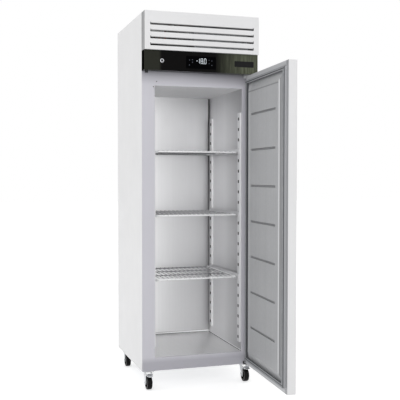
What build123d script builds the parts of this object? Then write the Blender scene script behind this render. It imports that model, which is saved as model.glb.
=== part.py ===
from build123d import *
import os
from math import cos, radians, sin, tan

os.makedirs("parts", exist_ok=True)

# Upright freezer on castors, with its cooling unit on top and its door standing open.
# X runs from the left side to the right side, Y from the front to the back, Z up from the floor.
# The origin is on the floor, under the middle of the box that the freezer fills with its door open.

# Cabinet
cabinet_width = 650.0
cabinet_depth = 640.0
total_height = 2050.0
wheel_radius = 37.5
castor_headroom = 30.0
castor_height = 2 * wheel_radius + castor_headroom
skin = 1.2
return_width = 18.0
fold_radius = 2.0

# Cooling unit over the insulated box
unit_height = 312.0
louvre_height = 205.0
louvre_overhang = 70.0
fascia_overhang = 55.0
louvre_skin = 1.5
fascia_wall = 3.0
box_top = total_height - unit_height
louvre_bottom = total_height - louvre_height

# Opening and cooled space
frame_stile = 72.0
frame_sill = 72.0
frame_head = 76.0
throat_depth = 8.0
liner_skin = 1.0
rear_insulation = 46.0
duct_gap = 14.0
duct_panel_thickness = 1.0
duct_side_gap = 10.0
floor_lip = 10.0
opening_width = cabinet_width - 2 * frame_stile
opening_bottom = castor_height + frame_sill
opening_top = box_top - frame_head

# Door and hinge
door_above_base = 8.0
door_below_fascia = 9.0
door_thickness = 45.0
door_corner = 4.0
door_side_gap = 3.0
gasket_height = 14.6
seal_gap = 0.4
hinge_inset = 20.0
hinge_depth = 10.0
rest_angle = 87.0
door_bottom = castor_height + door_above_base
door_top = box_top - door_below_fascia
door_width = cabinet_width - 2 * door_side_gap

# Places worked out from the sizes above
half_width = cabinet_width / 2
inside_half = half_width - skin
opening_half = opening_width / 2
door_standoff = door_thickness + gasket_height + seal_gap
swing = radians(rest_angle)
tip_x = door_width - hinge_inset - door_corner
tip_y = hinge_depth - door_corner
door_reach = door_standoff - hinge_depth + tip_x * sin(swing) + tip_y * cos(swing) + door_corner
front_y = (door_reach - cabinet_depth) / 2
back_y = front_y + cabinet_depth
hinge_x = half_width - door_side_gap - hinge_inset
hinge_y = front_y - door_standoff + hinge_depth
open_door = Location((hinge_x, hinge_y, 0), (0, 0, rest_angle))


def level(z):
    """A plane seen from above, at height z."""
    return Plane.XY.offset(z)


def facing_front(y):
    """An upright plane at y with X to the right and Z up. A positive extrusion runs to the front."""
    return Plane(origin=(0, y, 0), x_dir=(1, 0, 0), z_dir=(0, -1, 0))


def section(x):
    """An upright plane at x with Y and Z as its axes. A positive extrusion runs to the right."""
    return Plane.YZ.offset(x)


def on_door(plane):
    """The same plane on the open door, where it was given on the closed door around its hinge axis."""
    return Plane(open_door * plane.location)


def block(x, y, z, mode=Mode.ADD):
    """A flat-sided block between pairs of x, y and z."""
    middle = ((x[0] + x[1]) / 2, (y[0] + y[1]) / 2, (z[0] + z[1]) / 2)
    with Locations(middle):
        Box(x[1] - x[0], y[1] - y[0], z[1] - z[0], mode=mode)


# Places and sizes of the screws that hold the hinge brackets and the castors
bracket_sheet = 4.0
bracket_leg = 16.0
bracket_gap = 4.0
bracket_length = 60.0
bracket_right = half_width - door_side_gap
bracket_x = (bracket_right - bracket_length, bracket_right)
screw_radius = 2.5
screw_fit = 0.1
screw_head_radius = 4.5
screw_head_height = 2.5
screw_depth = 5.0
screw_from_sheet = 6.0
screw_pitch = 20.0
screw_x = [sum(bracket_x) / 2 + screw_pitch * step for step in (-1, 0, 1)]
lower_screw_z = door_bottom - bracket_gap + screw_from_sheet
upper_screw_z = door_top + bracket_gap - screw_from_sheet
hinge_screws = [(x, z) for z in (lower_screw_z, upper_screw_z) for x in screw_x]

castor_inset_x = 42.0
castor_inset_front = 48.0
castor_inset_back = 52.0
castor_x = half_width - castor_inset_x
castor_places = {
    "front_left": (-castor_x, front_y + castor_inset_front),
    "front_right": (castor_x, front_y + castor_inset_front),
    "rear_left": (-castor_x, back_y - castor_inset_back),
    "rear_right": (castor_x, back_y - castor_inset_back),
}
plate_hole_x = 50.0
plate_hole_y = 62.0
bolt_radius = 4.0
bolt_clearance = 0.25


# Side panels: one sheet each, folded inwards along the back and along the base
for side, name in ((-1, "side_panel_left"), (1, "side_panel_right")):
    with BuildPart() as side_panel:
        with BuildSketch(level(castor_height)):
            with BuildLine():
                Polyline(
                    (side * half_width, front_y),
                    (side * half_width, back_y),
                    (side * (half_width - return_width), back_y),
                    (side * (half_width - return_width), back_y - skin),
                    (side * (half_width - skin), back_y - skin),
                    (side * (half_width - skin), front_y),
                    close=True,
                )
            make_face()
            rear_corner = vertices().group_by(Axis.Y)[-1].sort_by(Axis.X)[0 if side < 0 else -1]
            fillet(rear_corner, fold_radius)
        extrude(amount=total_height - castor_height)
    side_panel.part.label = name
    export_step(side_panel.part, f"parts/{name}.step")

# Back panel of the insulated box, held behind the folded edges of the sides
back_sheet = 1.0
back_sheet_y = back_y - skin - back_sheet
bead_x = 150.0
bead_width = 30.0
bead_depth = 0.6
bead_low = castor_height + 95.0
bead_high = box_top - 138.0
bead_middle = (bead_low + bead_high) / 2
with BuildPart() as back_panel:
    with BuildSketch(facing_front(back_y - skin)):
        with Locations((0, (castor_height + box_top) / 2)):
            Rectangle(2 * inside_half, box_top - castor_height)
    extrude(amount=back_sheet)
    # two shallow pressed stiffening beads
    with BuildSketch(facing_front(back_y - skin)):
        with Locations((-bead_x, bead_middle), (bead_x, bead_middle)):
            SlotOverall(bead_high - bead_low, bead_width, rotation=90)
    extrude(amount=bead_depth, mode=Mode.SUBTRACT)
back_panel.part.label = "back_panel"
export_step(back_panel.part, "parts/back_panel.step")

# Base pan under the insulated box
base_sheet = 1.5
with BuildPart() as base_pan:
    block(
        (-inside_half, inside_half),
        (front_y + skin, back_sheet_y),
        (castor_height, castor_height + base_sheet),
    )
    with BuildSketch(level(castor_height)):
        with Locations(*castor_places.values()):
            with GridLocations(plate_hole_x, plate_hole_y, 2, 2):
                Circle(bolt_radius + bolt_clearance)
    extrude(amount=base_sheet, mode=Mode.SUBTRACT)
base_pan.part.label = "base_pan"
export_step(base_pan.part, "parts/base_pan.step")

# Front frame: a flat ring around the opening, folded back into the throat
opening_height = opening_top - opening_bottom
opening_middle = (opening_top + opening_bottom) / 2
with BuildPart() as front_frame:
    with BuildSketch(facing_front(front_y + skin)):
        with Locations((0, (castor_height + box_top) / 2)):
            Rectangle(2 * inside_half, box_top - castor_height)
        with Locations((0, opening_middle)):
            Rectangle(opening_width, opening_height, mode=Mode.SUBTRACT)
        with Locations(*hinge_screws):
            Circle(screw_radius + screw_fit, mode=Mode.SUBTRACT)
    extrude(amount=skin)
    with BuildSketch(facing_front(front_y + throat_depth)):
        with Locations((0, opening_middle)):
            Rectangle(opening_width + 2 * liner_skin, opening_height + 2 * liner_skin)
            Rectangle(opening_width, opening_height, mode=Mode.SUBTRACT)
    extrude(amount=throat_depth - skin)
front_frame.part.label = "front_frame"
export_step(front_frame.part, "parts/front_frame.step")

# Inner lining of the cooled space
liner_front = front_y + throat_depth
rear_wall_y = back_y - rear_insulation
duct_panel_y = rear_wall_y - duct_gap
floor_under = opening_bottom - liner_skin
with BuildPart() as inner_side_walls:
    for side in (-1, 1):
        wall = sorted((side * opening_half, side * (opening_half + liner_skin)))
        block(wall, (liner_front, rear_wall_y), (floor_under, opening_top + liner_skin))
inner_side_walls.part.label = "inner_side_walls"
export_step(inner_side_walls.part, "parts/inner_side_walls.step")

with BuildPart() as inner_rear_wall:
    block(
        (-opening_half - liner_skin, opening_half + liner_skin),
        (rear_wall_y, rear_wall_y + liner_skin),
        (floor_under, opening_top + liner_skin),
    )
inner_rear_wall.part.label = "inner_rear_wall"
export_step(inner_rear_wall.part, "parts/inner_rear_wall.step")

# Air passage from the evaporator down behind the duct panel
air_hole_half = 190.0
air_hole_margin = 1.0
air_hole_front = duct_panel_y + duct_panel_thickness + air_hole_margin
air_hole_back = rear_wall_y - air_hole_margin
with BuildPart() as inner_ceiling:
    block((-opening_half, opening_half), (liner_front, rear_wall_y), (opening_top, opening_top + liner_skin))
    block(
        (-air_hole_half, air_hole_half),
        (air_hole_front, air_hole_back),
        (opening_top, opening_top + liner_skin),
        mode=Mode.SUBTRACT,
    )
inner_ceiling.part.label = "inner_ceiling"
export_step(inner_ceiling.part, "parts/inner_ceiling.step")

# Floor pan, with its edges turned up along both walls and the rear
with BuildPart() as inner_floor:
    with BuildSketch(Plane.XZ.offset(-rear_wall_y)):
        with BuildLine():
            Polyline(
                (-opening_half, opening_bottom + floor_lip),
                (-opening_half, floor_under),
                (opening_half, floor_under),
                (opening_half, opening_bottom + floor_lip),
                (opening_half - liner_skin, opening_bottom + floor_lip),
                (opening_half - liner_skin, opening_bottom),
                (-opening_half + liner_skin, opening_bottom),
                (-opening_half + liner_skin, opening_bottom + floor_lip),
                close=True,
            )
        make_face()
    extrude(amount=rear_wall_y - liner_front)
    block(
        (-opening_half + liner_skin, opening_half - liner_skin),
        (rear_wall_y - liner_skin, rear_wall_y),
        (opening_bottom, opening_bottom + floor_lip),
    )
inner_floor.part.label = "inner_floor"
export_step(inner_floor.part, "parts/inner_floor.step")

# Duct panel: a folded sheet that stands off the rear wall and leaves an air gap along both sides
duct_panel_half = opening_half - duct_side_gap
duct_foot_gap = 6.0
duct_panel_bottom = opening_bottom + floor_lip + duct_foot_gap
duct_fold = 8.0
standoff_radius = 8.0
standoff_x = 150.0
standoff_low = opening_bottom + 143.0
standoff_high = opening_top - 162.0
with BuildPart() as duct_panel:
    with BuildSketch(level(duct_panel_bottom)):
        with BuildLine():
            Polyline(
                (-duct_panel_half, duct_panel_y + duct_fold),
                (-duct_panel_half, duct_panel_y),
                (duct_panel_half, duct_panel_y),
                (duct_panel_half, duct_panel_y + duct_fold),
                (duct_panel_half - duct_panel_thickness, duct_panel_y + duct_fold),
                (duct_panel_half - duct_panel_thickness, duct_panel_y + duct_panel_thickness),
                (-duct_panel_half + duct_panel_thickness, duct_panel_y + duct_panel_thickness),
                (-duct_panel_half + duct_panel_thickness, duct_panel_y + duct_fold),
                close=True,
            )
        make_face()
    extrude(amount=opening_top - duct_panel_bottom)
    # the stand-offs that carry the panel on the rear wall
    with BuildSketch(facing_front(rear_wall_y)):
        with Locations(
            (-standoff_x, standoff_low),
            (standoff_x, standoff_low),
            (-standoff_x, standoff_high),
            (standoff_x, standoff_high),
        ):
            Circle(standoff_radius)
    extrude(amount=rear_wall_y - duct_panel_y - duct_panel_thickness)
duct_panel.part.label = "duct_panel"
export_step(duct_panel.part, "parts/duct_panel.step")

# Deck over the insulated box, which carries the cooling unit
deck_under = box_top - skin
with BuildPart() as unit_deck:
    block((-inside_half, inside_half), (front_y + skin, back_sheet_y), (deck_under, box_top))
    block(
        (-air_hole_half, air_hole_half),
        (air_hole_front, air_hole_back),
        (deck_under, box_top),
        mode=Mode.SUBTRACT,
    )
unit_deck.part.label = "unit_deck"
export_step(unit_deck.part, "parts/unit_deck.step")

# Insulation foam: two sides, back, top and bottom
foam_front = front_y + throat_depth
base_top = castor_height + base_sheet
lining_half = opening_half + liner_skin
seam = 0.3
slab_half = lining_half - seam
slab_back = rear_wall_y + liner_skin - seam
with BuildPart() as insulation_foam:
    for side in (-1, 1):
        slab = sorted((side * lining_half, side * inside_half))
        block(slab, (foam_front, back_sheet_y), (base_top, deck_under))
    block((-slab_half, slab_half), (rear_wall_y + liner_skin, back_sheet_y), (base_top, deck_under))
    block((-slab_half, slab_half), (foam_front, slab_back), (base_top, floor_under))
    block((-slab_half, slab_half), (foam_front, slab_back), (opening_top + liner_skin, deck_under))
    block(
        (-air_hole_half, air_hole_half),
        (air_hole_front, air_hole_back),
        (opening_top, box_top),
        mode=Mode.SUBTRACT,
    )
insulation_foam.part.label = "insulation_foam"
export_step(insulation_foam.part, "parts/insulation_foam.step")

# Slotted uprights: four channels fixed to the side walls, with a column of hook slots
upright_width = 36.0
upright_depth = 8.0
upright_sheet = 1.5
upright_bottom = opening_bottom + 51.0
upright_top = opening_top - 132.0
upright_y = (front_y + 34.0, duct_panel_y - 50.0)
slot_pitch = 59.0
slot_width = 12.0
slot_height = 14.0
first_slot = upright_bottom + 28.0
slot_count = int((upright_top - slot_height - first_slot) / slot_pitch) + 1
web_half = opening_half - upright_depth
with BuildPart() as pilasters:
    for side in (-1, 1):
        for middle in upright_y:
            low, high = middle - upright_width / 2, middle + upright_width / 2
            wall_x, web_x = side * opening_half, side * web_half
            back_x = web_x + side * upright_sheet
            with BuildSketch(level(upright_bottom)):
                with BuildLine():
                    Polyline(
                        (wall_x, low),
                        (web_x, low),
                        (web_x, high),
                        (wall_x, high),
                        (wall_x, high - upright_sheet),
                        (back_x, high - upright_sheet),
                        (back_x, low + upright_sheet),
                        (wall_x, low + upright_sheet),
                        close=True,
                    )
                make_face()
            extrude(amount=upright_top - upright_bottom)
            with Locations([(web_x, middle, first_slot + slot_pitch * step) for step in range(slot_count)]):
                Box(4 * upright_sheet, slot_width, slot_height, mode=Mode.SUBTRACT)
pilasters.part.label = "pilasters"
export_step(pilasters.part, "parts/pilasters.step")

# Shelf runners: angles that hook into the uprights, a pair for each shelf
bay_count = 4
bay_slots = (slot_count + 2) // bay_count
shelf_slots = [bay_slots * bay for bay in range(1, bay_count)]
runner_sheet = 1.5
runner_ledge = 18.0
ledge_below_slot = 16.0
runner_above_slot = 7.0
runner_front = front_y + 22.0
runner_back = duct_panel_y - 30.0
stop_height = 10.0
hook_width = 6.0
hook_height = 8.0
hook_reach = 5.0
with BuildPart() as shelf_runners:
    for slot in shelf_slots:
        slot_z = first_slot + slot_pitch * slot
        ledge_z = slot_z - ledge_below_slot
        for side in (-1, 1):
            web_x = side * web_half
            leg_x = web_x - side * runner_sheet
            ledge_x = web_x - side * runner_ledge
            with BuildSketch(facing_front(runner_back)):
                with BuildLine():
                    Polyline(
                        (web_x, slot_z + runner_above_slot),
                        (web_x, ledge_z - runner_sheet),
                        (ledge_x, ledge_z - runner_sheet),
                        (ledge_x, ledge_z),
                        (leg_x, ledge_z),
                        (leg_x, slot_z + runner_above_slot),
                        close=True,
                    )
                make_face()
            extrude(amount=runner_back - runner_front)
            # rear stop, and a hook through one slot of each upright
            block(
                sorted((ledge_x, leg_x)),
                (runner_back - runner_sheet, runner_back),
                (ledge_z, ledge_z + stop_height),
            )
            for middle in upright_y:
                block(
                    sorted((web_x, web_x + side * hook_reach)),
                    (middle - hook_width / 2, middle + hook_width / 2),
                    (slot_z - hook_height / 2, slot_z + hook_height / 2),
                )
shelf_runners.part.label = "shelf_runners"
export_step(shelf_runners.part, "parts/shelf_runners.step")

# Wire shelves: a round-cornered rim, two cross bars and thin wires laid from front to back
rim_radius = 4.0
rim_corner = 28.0
bar_radius = 3.0
wire_radius = 1.7
wire_count = 17
weld_depth = 0.5
shelf_side_clearance = 2.0
shelf_lift = 0.3
shelf_end_gap = 2.5
shelf_front = front_y + 32.0
shelf_back = runner_back - runner_sheet - shelf_end_gap
rim_x = web_half - runner_sheet - shelf_side_clearance - rim_radius
rim_front = shelf_front + rim_radius
rim_back = shelf_back - rim_radius
for slot, name in zip(shelf_slots, ("shelf_lower", "shelf_middle", "shelf_upper")):
    rim_z = first_slot + slot_pitch * slot - ledge_below_slot + shelf_lift + rim_radius
    with BuildPart() as shelf:
        with BuildLine(level(rim_z)) as rim:
            FilletPolyline(
                (rim_x, rim_front),
                (rim_x, rim_back),
                (-rim_x, rim_back),
                (-rim_x, rim_front),
                radius=rim_corner,
                close=True,
            )
        with BuildSketch(Plane(origin=rim.line @ 0, z_dir=rim.line % 0)):
            Circle(rim_radius)
        sweep(path=rim.line)
        # cross bars from side to side, their tops level with the top of the rim
        with BuildSketch(section(-rim_x)):
            third = (rim_back - rim_front) / 3
            with Locations(
                (rim_front + third, rim_z + rim_radius - bar_radius),
                (rim_back - third, rim_z + rim_radius - bar_radius),
            ):
                RegularPolygon(bar_radius, 8)
        extrude(amount=2 * rim_x)
        # thin wires on top, welded to the rim and to the bars
        with BuildSketch(facing_front(rim_back)):
            spacing = 2 * rim_x / (wire_count + 1)
            with Locations((0, rim_z + rim_radius + wire_radius - weld_depth)):
                with GridLocations(spacing, 0, wire_count, 1):
                    RegularPolygon(wire_radius, 6)
        extrude(amount=rim_back - rim_front)
    shelf.part.label = name
    export_step(shelf.part, f"parts/{name}.step")

# Louvre panel: a folded front cover with four slots, each under a lip that curls inwards
louvre_end_margin = 30.5
louvre_run = cabinet_width - 2 * louvre_end_margin
louvre_count = 4
louvre_first = louvre_bottom + 21.0
louvre_pitch = 36.3
louvre_gap = 15.0
louvre_corner = 3.0
lip_radius = 8.0
lip_turn = 75.0
lip_end_gap = 4.0
louvre_y = front_y - louvre_overhang
with BuildPart() as louvre_panel:
    block((-half_width, half_width), (louvre_y, front_y), (louvre_bottom, total_height))
    fillet(louvre_panel.edges().filter_by(Axis.Z).group_by(Axis.Y)[0], fold_radius)
    block(
        (-half_width + louvre_skin, half_width - louvre_skin),
        (louvre_y + louvre_skin, front_y),
        (louvre_bottom + louvre_skin, total_height - louvre_skin),
        mode=Mode.SUBTRACT,
    )
    for step in range(louvre_count):
        gap_low = louvre_first + louvre_pitch * step
        gap_high = gap_low + louvre_gap
        with BuildSketch(facing_front(louvre_y + louvre_skin)):
            with Locations((0, (gap_low + gap_high) / 2)):
                RectangleRounded(louvre_run, louvre_gap, louvre_corner)
        extrude(amount=louvre_skin, mode=Mode.SUBTRACT)
        # the lip leaves the slot's upper edge in line with the sheet and curls in from there
        with BuildSketch(section(lip_end_gap - louvre_run / 2)):
            with BuildLine():
                curl_centre = (louvre_y + lip_radius, gap_high)
                outside = CenterArc(curl_centre, lip_radius, 180, lip_turn)
                inside = CenterArc(curl_centre, lip_radius - louvre_skin, 180, lip_turn)
                Line(outside @ 0, inside @ 0)
                Line(outside @ 1, inside @ 1)
            make_face()
        extrude(amount=louvre_run - 2 * lip_end_gap)
louvre_panel.part.label = "louvre_panel"
export_step(louvre_panel.part, "parts/louvre_panel.step")

# Control fascia: a glossy moulded cover with a window, a lock hole and a slot for the lock's tongue
fascia_y = front_y - fascia_overhang
window_x = -6.5
window_z = box_top + 50.0
window_width = 171.0
window_height = 68.0
window_gap = 0.3
lock_x = 99.0 - half_width
lock_z = box_top + 52.0
housing_radius = 9.5
barrel_radius = 7.0
turning_gap = 0.06
tongue_width = 12.0
tongue_thickness = 3.0
tongue_from_fascia = 22.0
tongue_engagement = 10.0
tongue_clearance = 3.0
tongue_sweep = 55.0
tongue_y = fascia_y + tongue_from_fascia
tongue_reach = lock_z - door_top + tongue_engagement
tongue_slot_left = lock_x - tongue_sweep
tongue_slot_right = lock_x + tongue_width / 2 + tongue_clearance
with BuildPart() as control_fascia:
    block((-half_width, half_width), (fascia_y, front_y), (box_top, louvre_bottom))
    fillet(control_fascia.edges().filter_by(Axis.Z).group_by(Axis.Y)[0], fold_radius)
    block(
        (-half_width + fascia_wall, half_width - fascia_wall),
        (fascia_y + fascia_wall, front_y),
        (box_top + fascia_wall, louvre_bottom - fascia_wall),
        mode=Mode.SUBTRACT,
    )
    with BuildSketch(facing_front(fascia_y + fascia_wall)):
        with Locations((window_x, window_z)):
            Rectangle(window_width, window_height)
        with Locations((lock_x, lock_z)):
            Circle(housing_radius)
    extrude(amount=fascia_wall, mode=Mode.SUBTRACT)
    block(
        (tongue_slot_left, tongue_slot_right),
        (tongue_y - tongue_clearance, tongue_y + tongue_thickness + tongue_clearance),
        (box_top, box_top + fascia_wall),
        mode=Mode.SUBTRACT,
    )
control_fascia.part.label = "control_fascia"
export_step(control_fascia.part, "parts/control_fascia.step")

# Display window, flush in the fascia, and the display module clipped behind it
glass = 2.0
with BuildPart() as display_window:
    with BuildSketch(facing_front(fascia_y + glass)):
        with Locations((window_x, window_z)):
            Rectangle(window_width - 2 * window_gap, window_height - 2 * window_gap)
    extrude(amount=glass)
display_window.part.label = "display_window"
export_step(display_window.part, "parts/display_window.step")

module_flange = 8.0
module_sheet = 2.0
module_depth = 16.0
module_side_step = 5.0
module_end_step = 3.0
with BuildPart() as display_module:
    with BuildSketch(facing_front(fascia_y + fascia_wall)):
        with Locations((window_x, window_z)):
            Rectangle(window_width - 4 * window_gap, window_height - 4 * window_gap)
    extrude(amount=fascia_wall - glass)
    with BuildSketch(facing_front(fascia_y + fascia_wall + module_sheet)):
        with Locations((window_x, window_z)):
            RectangleRounded(window_width + 2 * module_flange, window_height + 2 * module_flange, 4)
    extrude(amount=module_sheet)
    with BuildSketch(facing_front(fascia_y + fascia_wall + module_sheet + module_depth)):
        with Locations((window_x, window_z)):
            RectangleRounded(window_width - 2 * module_side_step, window_height - 2 * module_end_step, 3)
    extrude(amount=module_depth)
display_module.part.label = "display_module"
export_step(display_module.part, "parts/display_module.step")

# Key lock: a fixed housing with its nut, and a barrel that carries the tongue
rose_radius = 10.5
rose_height = 2.0
with BuildPart() as lock_housing:
    with BuildSketch(facing_front(tongue_y - 1.0)):
        with Locations((lock_x, lock_z)):
            Circle(housing_radius)
    extrude(amount=tongue_y - 1.0 - fascia_y)
    with BuildSketch(facing_front(fascia_y)):
        with Locations((lock_x, lock_z)):
            Circle(rose_radius)
    extrude(amount=rose_height)
    chamfer(lock_housing.faces().sort_by(Axis.Y)[0].edges(), 0.8)
    with BuildSketch(facing_front(fascia_y + fascia_wall + 5)):
        with Locations((lock_x, lock_z)):
            RegularPolygon(14, 6)
    extrude(amount=5)
    with BuildSketch(facing_front(tongue_y)):
        with Locations((lock_x, lock_z)):
            Circle(barrel_radius + turning_gap)
    extrude(amount=fascia_overhang, mode=Mode.SUBTRACT)
lock_housing.part.label = "lock_housing"
export_step(lock_housing.part, "parts/lock_housing.step")

keyway_width, keyway_height, keyway_depth = 1.6, 8.0, 6.0
with BuildPart() as lock_barrel:
    with BuildSketch(facing_front(tongue_y)):
        with Locations((lock_x, lock_z)):
            Circle(barrel_radius)
    extrude(amount=tongue_y - fascia_y + rose_height - 0.5)
    with BuildSketch(facing_front(fascia_y - rose_height + 0.5 + keyway_depth)):
        with Locations((lock_x, lock_z)):
            Rectangle(keyway_width, keyway_height)
    extrude(amount=keyway_depth, mode=Mode.SUBTRACT)
    with BuildSketch(facing_front(tongue_y + tongue_thickness)):
        tongue_length = tongue_reach + tongue_width / 2
        with Locations((lock_x + tongue_width / 2 - tongue_length / 2, lock_z)):
            SlotOverall(tongue_length, tongue_width)
    extrude(amount=tongue_thickness)
lock_barrel.part.label = "lock_barrel"
export_step(lock_barrel.part, "parts/lock_barrel.step")

# Door sensor under the fascia, and two blanking plugs in the frame
sensor_x = 25.0 - half_width
sensor_width = 16.0
sensor_depth = 10.0
sensor_height = 9.6
with BuildPart() as door_sensor:
    with BuildSketch(level(box_top - sensor_height)):
        with Locations((sensor_x, front_y - 1 - sensor_depth / 2)):
            RectangleRounded(sensor_width, sensor_depth, 3)
    extrude(amount=sensor_height)
door_sensor.part.label = "door_sensor"
export_step(door_sensor.part, "parts/door_sensor.step")

plug_radius = 3.0
plug_height = 0.3
plug_places = (
    (-opening_half - 7.0, opening_top - 6.0),
    (-opening_half + 11.0, opening_top + 22.0),
)
with BuildPart() as frame_plugs:
    with BuildSketch(facing_front(front_y)):
        with Locations(*plug_places):
            Circle(plug_radius)
    extrude(amount=plug_height)
frame_plugs.part.label = "frame_plugs"
export_step(frame_plugs.part, "parts/frame_plugs.step")

# Top cover with two fields of air slots
cover_slot = 7.0
cover_slot_run = 130.0
cover_slot_pitch = 20.0
cover_slots = 8
cover_fold = 16.0
cover_field_x = 130.0
cover_field_y = back_y - 210.0
fold_z = (total_height - cover_fold, total_height - skin)
with BuildPart() as top_cover:
    block((-inside_half, inside_half), (front_y, back_y), (total_height - skin, total_height))
    block((-inside_half, inside_half), (front_y, front_y + skin), fold_z)
    block((-inside_half, inside_half), (back_y - skin, back_y), fold_z)
    # the rear corners make room for the folded edges of the side panels
    for side in (-1, 1):
        corner_x = side * (half_width - return_width / 2 - skin / 2)
        with Locations((corner_x, back_y - skin / 2, total_height)):
            Box(return_width - skin, skin, 3 * cover_fold, mode=Mode.SUBTRACT)
    with BuildSketch(level(total_height)):
        with Locations((-cover_field_x, cover_field_y), (cover_field_x, cover_field_y)):
            with GridLocations(0, cover_slot_pitch, 1, cover_slots):
                Rectangle(cover_slot_run, cover_slot)
    extrude(amount=-skin, mode=Mode.SUBTRACT)
top_cover.part.label = "top_cover"
export_step(top_cover.part, "parts/top_cover.step")

# Rear grille of the unit, set in from the back so that the cable gland lies within the cabinet's depth
grille_set_in = 30.0
grille_y = back_y - grille_set_in
grille_fold = 14.0
grille_slot = 8.0
grille_slot_run = cabinet_width / 2 - 125.0
grille_slot_pitch = 24.0
grille_slots = 9
grille_column_pitch = grille_slot_run + 30.0
grille_middle = box_top + 162.0
gland_x = half_width - 63.0
gland_z = box_top + 52.0
gland_thread = 10.0
with BuildPart() as rear_grille:
    with BuildSketch(facing_front(grille_y)):
        with Locations((0, (box_top + total_height - skin) / 2)):
            Rectangle(2 * inside_half, total_height - skin - box_top)
        with Locations((0, grille_middle)):
            with GridLocations(grille_column_pitch, grille_slot_pitch, 2, grille_slots):
                Rectangle(grille_slot_run, grille_slot, mode=Mode.SUBTRACT)
        with Locations((gland_x, gland_z)):
            Circle(gland_thread, mode=Mode.SUBTRACT)
    extrude(amount=skin)
    block(
        (-inside_half, inside_half),
        (grille_y - grille_fold, grille_y - skin),
        (total_height - 2 * skin, total_height - skin),
    )
rear_grille.part.label = "rear_grille"
export_step(rear_grille.part, "parts/rear_grille.step")

# Cable gland: thread and locknut inside, hexagon and domed nut outside, with an open bore
gland_bore = 4.5
gland_collar = 8.0
gland_dome = 18.0
gland_tail = 10.0
locknut = 5.0
gland_end_y = grille_y + gland_collar + gland_dome
with BuildPart() as cable_gland:
    with BuildSketch(facing_front(gland_end_y)):
        with Locations((gland_x, gland_z)):
            Circle(gland_thread + 1)
    extrude(amount=gland_dome)
    fillet(cable_gland.faces().sort_by(Axis.Y)[-1].edges(), 4)
    with BuildSketch(facing_front(grille_y + gland_collar)):
        with Locations((gland_x, gland_z)):
            RegularPolygon(gland_thread + 3.5, 6)
    extrude(amount=gland_collar)
    with BuildSketch(facing_front(grille_y)):
        with Locations((gland_x, gland_z)):
            Circle(gland_thread)
    extrude(amount=skin + gland_tail)
    with BuildSketch(facing_front(grille_y - skin)):
        with Locations((gland_x, gland_z)):
            RegularPolygon(gland_thread + 4, 6)
    extrude(amount=locknut)
    with BuildSketch(facing_front(gland_end_y)):
        with Locations((gland_x, gland_z)):
            Circle(gland_bore)
    extrude(amount=gland_dome + gland_collar + skin + gland_tail, mode=Mode.SUBTRACT)
cable_gland.part.label = "cable_gland"
export_step(cable_gland.part, "parts/cable_gland.step")

# Hinge: an angle at the top and one at the bottom, each with its pin
bracket_nose = 14.0
pin_radius = 5.0
collar_radius = 9.0
pin_fit = 0.02
pin_length = 28.0
bearing_gap = 0.3
bush_length = 24.0
with BuildPart() as hinge_brackets:
    for up, door_end in ((1, door_top), (-1, door_bottom)):
        near = door_end + up * bracket_gap
        with BuildSketch(level(near)):
            with BuildLine():
                Polyline((bracket_x[1], front_y), (bracket_x[0], front_y), (hinge_x - bracket_nose, hinge_y))
                RadiusArc((hinge_x - bracket_nose, hinge_y), (hinge_x + bracket_nose, hinge_y), -bracket_nose)
                Line((hinge_x + bracket_nose, hinge_y), (bracket_x[1], front_y))
            make_face()
            with Locations((hinge_x, hinge_y)):
                Circle(pin_radius + pin_fit, mode=Mode.SUBTRACT)
        extrude(amount=up * bracket_sheet)
        block(
            bracket_x,
            (front_y - bracket_sheet, front_y),
            sorted((near + up * bracket_sheet, near + up * (bracket_sheet - bracket_leg))),
        )
    with BuildSketch(facing_front(front_y)):
        with Locations(*hinge_screws):
            Circle(screw_radius + screw_fit)
    extrude(amount=bracket_sheet, mode=Mode.SUBTRACT)
hinge_brackets.part.label = "hinge_brackets"
export_step(hinge_brackets.part, "parts/hinge_brackets.step")

with BuildPart() as hinge_pins:
    for up, door_end in ((1, door_top), (-1, door_bottom)):
        far = door_end + up * (bracket_gap + bracket_sheet)
        with BuildSketch(level(far)):
            with Locations((hinge_x, hinge_y)):
                Circle(pin_radius)
        extrude(amount=-up * (bracket_sheet + pin_length))
        with BuildSketch(level(door_end + up * bracket_gap)):
            with Locations((hinge_x, hinge_y)):
                Circle(collar_radius)
        extrude(amount=-up * (bracket_gap - bearing_gap))
hinge_pins.part.label = "hinge_pins"
export_step(hinge_pins.part, "parts/hinge_pins.step")

# Door, drawn closed around its hinge axis and placed at its resting angle
door_x = (hinge_inset - door_width, hinge_inset)
door_y = (-hinge_depth, door_thickness - hinge_depth)
door_mid_x = sum(door_x) / 2
door_mid_z = (door_bottom + door_top) / 2
door_height = door_top - door_bottom
rim_plane_y = door_y[1]
door_skin_sheet = 1.0
rim_fold = 20.0
grip_from_edge = 22.0
grip_width = 28.0
grip_depth = 20.0
grip_sheet = 1.6
grip_x = (door_x[0] + grip_from_edge, door_x[0] + grip_from_edge + grip_width)
pocket_depth = tongue_engagement + tongue_clearance
pocket_run = 40.0
pocket_x = (lock_x - pocket_run - hinge_x, tongue_slot_right - hinge_x)
pocket_y = (
    tongue_y - tongue_clearance - hinge_y,
    tongue_y + tongue_thickness + tongue_clearance - hinge_y,
)
bush_radius = 10.0
bush_seat = 0.2


def door_rectangle(inset):
    """A rectangle on the door's face, set in alike from all four edges."""
    with Locations((door_mid_x, door_mid_z)):
        Rectangle(door_width - 2 * inset, door_height - 2 * inset)


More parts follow.
